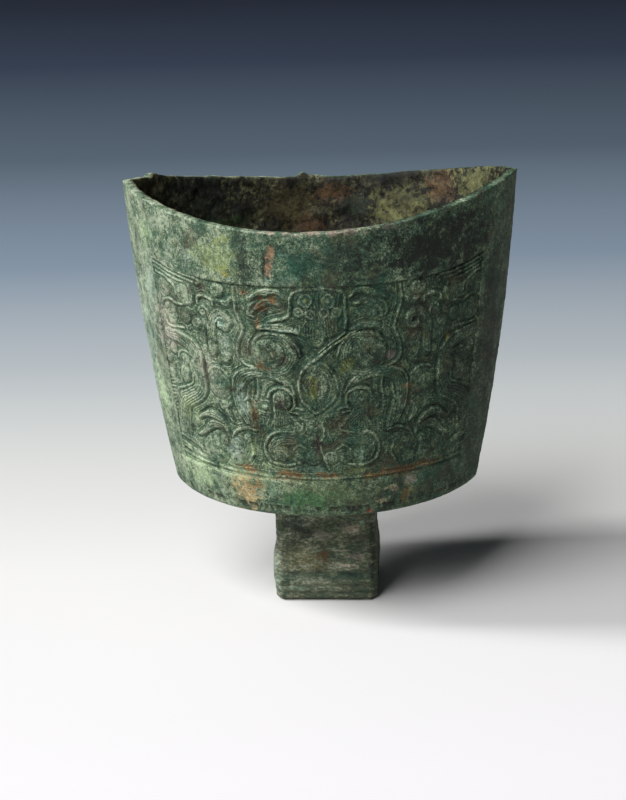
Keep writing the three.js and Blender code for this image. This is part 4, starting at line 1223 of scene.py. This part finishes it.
bm = bmesh.new()
bmesh.ops.create_grid(bm, x_segments=2, y_segments=2, size=FLOOR_HALF)
floor_mesh = bpy.data.meshes.new("floor")
bm.to_mesh(floor_mesh)
bm.free()
floor = bpy.data.objects.new("floor", floor_mesh)
bpy.context.scene.collection.objects.link(floor)
paper = bpy.data.materials.new("graded_paper")
paper.use_nodes = True
tree = paper.node_tree
tree.nodes.clear()
floor_place = add(tree, "TexCoord", {}, "Object")
turned = add(tree, "Mapping", {"Vector": floor_place, "Rotation": (0, 0, -VIEW_AZIMUTH)})
behind = add(tree, "SeparateXYZ", {0: turned}, "Y")
nearest, farthest = PAPER[0][0], PAPER[-1][0]
share = add(tree, "MapRange", {"Value": behind, "From Min": nearest, "From Max": farthest})
ramp = add(tree, "ValToRGB", {"Fac": share})
while len(ramp.node.color_ramp.elements) < len(PAPER):
    ramp.node.color_ramp.elements.new(0.5)
for element, (metres, hue) in zip(ramp.node.color_ramp.elements, PAPER):
    element.position = (metres - nearest) / (farthest - nearest)
    element.color = colour(hue)
seen = add(tree, "BsdfDiffuse", {"Color": ramp})
unseen = add(tree, "BsdfDiffuse", {"Color": colour(BOUNCE)})
direct = add(tree, "LightPath", {}, "Is Camera Ray")
matt = add(tree, "MixShader", {0: direct, 1: unseen, 2: seen})
add(tree, "OutputMaterial", {"Surface": matt})
floor_mesh.materials.append(paper)

# Light
# Two soft boxes stand at the left, a narrow one square to the side and a broad one in front, and a
# weak even light fills the shade. Their places and sizes give the photograph's floor shadow.
BOX_DISTANCE = 6
# Azimuth, height, width and upright size in degrees as the bell sees them, and watts
SIDE_BOX = ("side_box", -86, 44, 8, 24, 214)
FRONT_BOX = ("front_box", -40, 52, 34, 36, 336)
FILL = 0.05
FILL_TONE = "#c4ccd6"

for box_name, azimuth, height, across, upright, watts in (SIDE_BOX, FRONT_BOX):
    azimuth, height = math.radians(azimuth), math.radians(height)
    level = math.cos(height)
    toward = Vector((math.sin(azimuth) * level, -math.cos(azimuth) * level, math.sin(height)))
    box = bpy.data.objects.new(box_name, bpy.data.lights.new(box_name, "AREA"))
    box.data.shape = "RECTANGLE"
    box.data.size = 2 * BOX_DISTANCE * math.tan(math.radians(across / 2))
    box.data.size_y = 2 * BOX_DISTANCE * math.tan(math.radians(upright / 2))
    box.data.energy = watts
    box.location = toward * BOX_DISTANCE
    box.rotation_euler = toward.to_track_quat("Z", "Y").to_euler()
    bpy.context.scene.collection.objects.link(box)

world = bpy.data.worlds.new("studio")
bpy.context.scene.world = world
world.use_nodes = True
tree = world.node_tree
tree.nodes.clear()
direct = add(tree, "LightPath", {}, "Is Camera Ray")
fill = add(tree, "Background", {"Color": colour(FILL_TONE), "Strength": FILL})
far_view = add(tree, "Background", {"Color": colour(FAR_TONE), "Strength": 1})
both = add(tree, "MixShader", {0: direct, 1: fill, 2: far_view})
add(tree, "OutputWorld", {"Surface": both})
bpy.context.scene.view_settings.view_transform = "Standard"
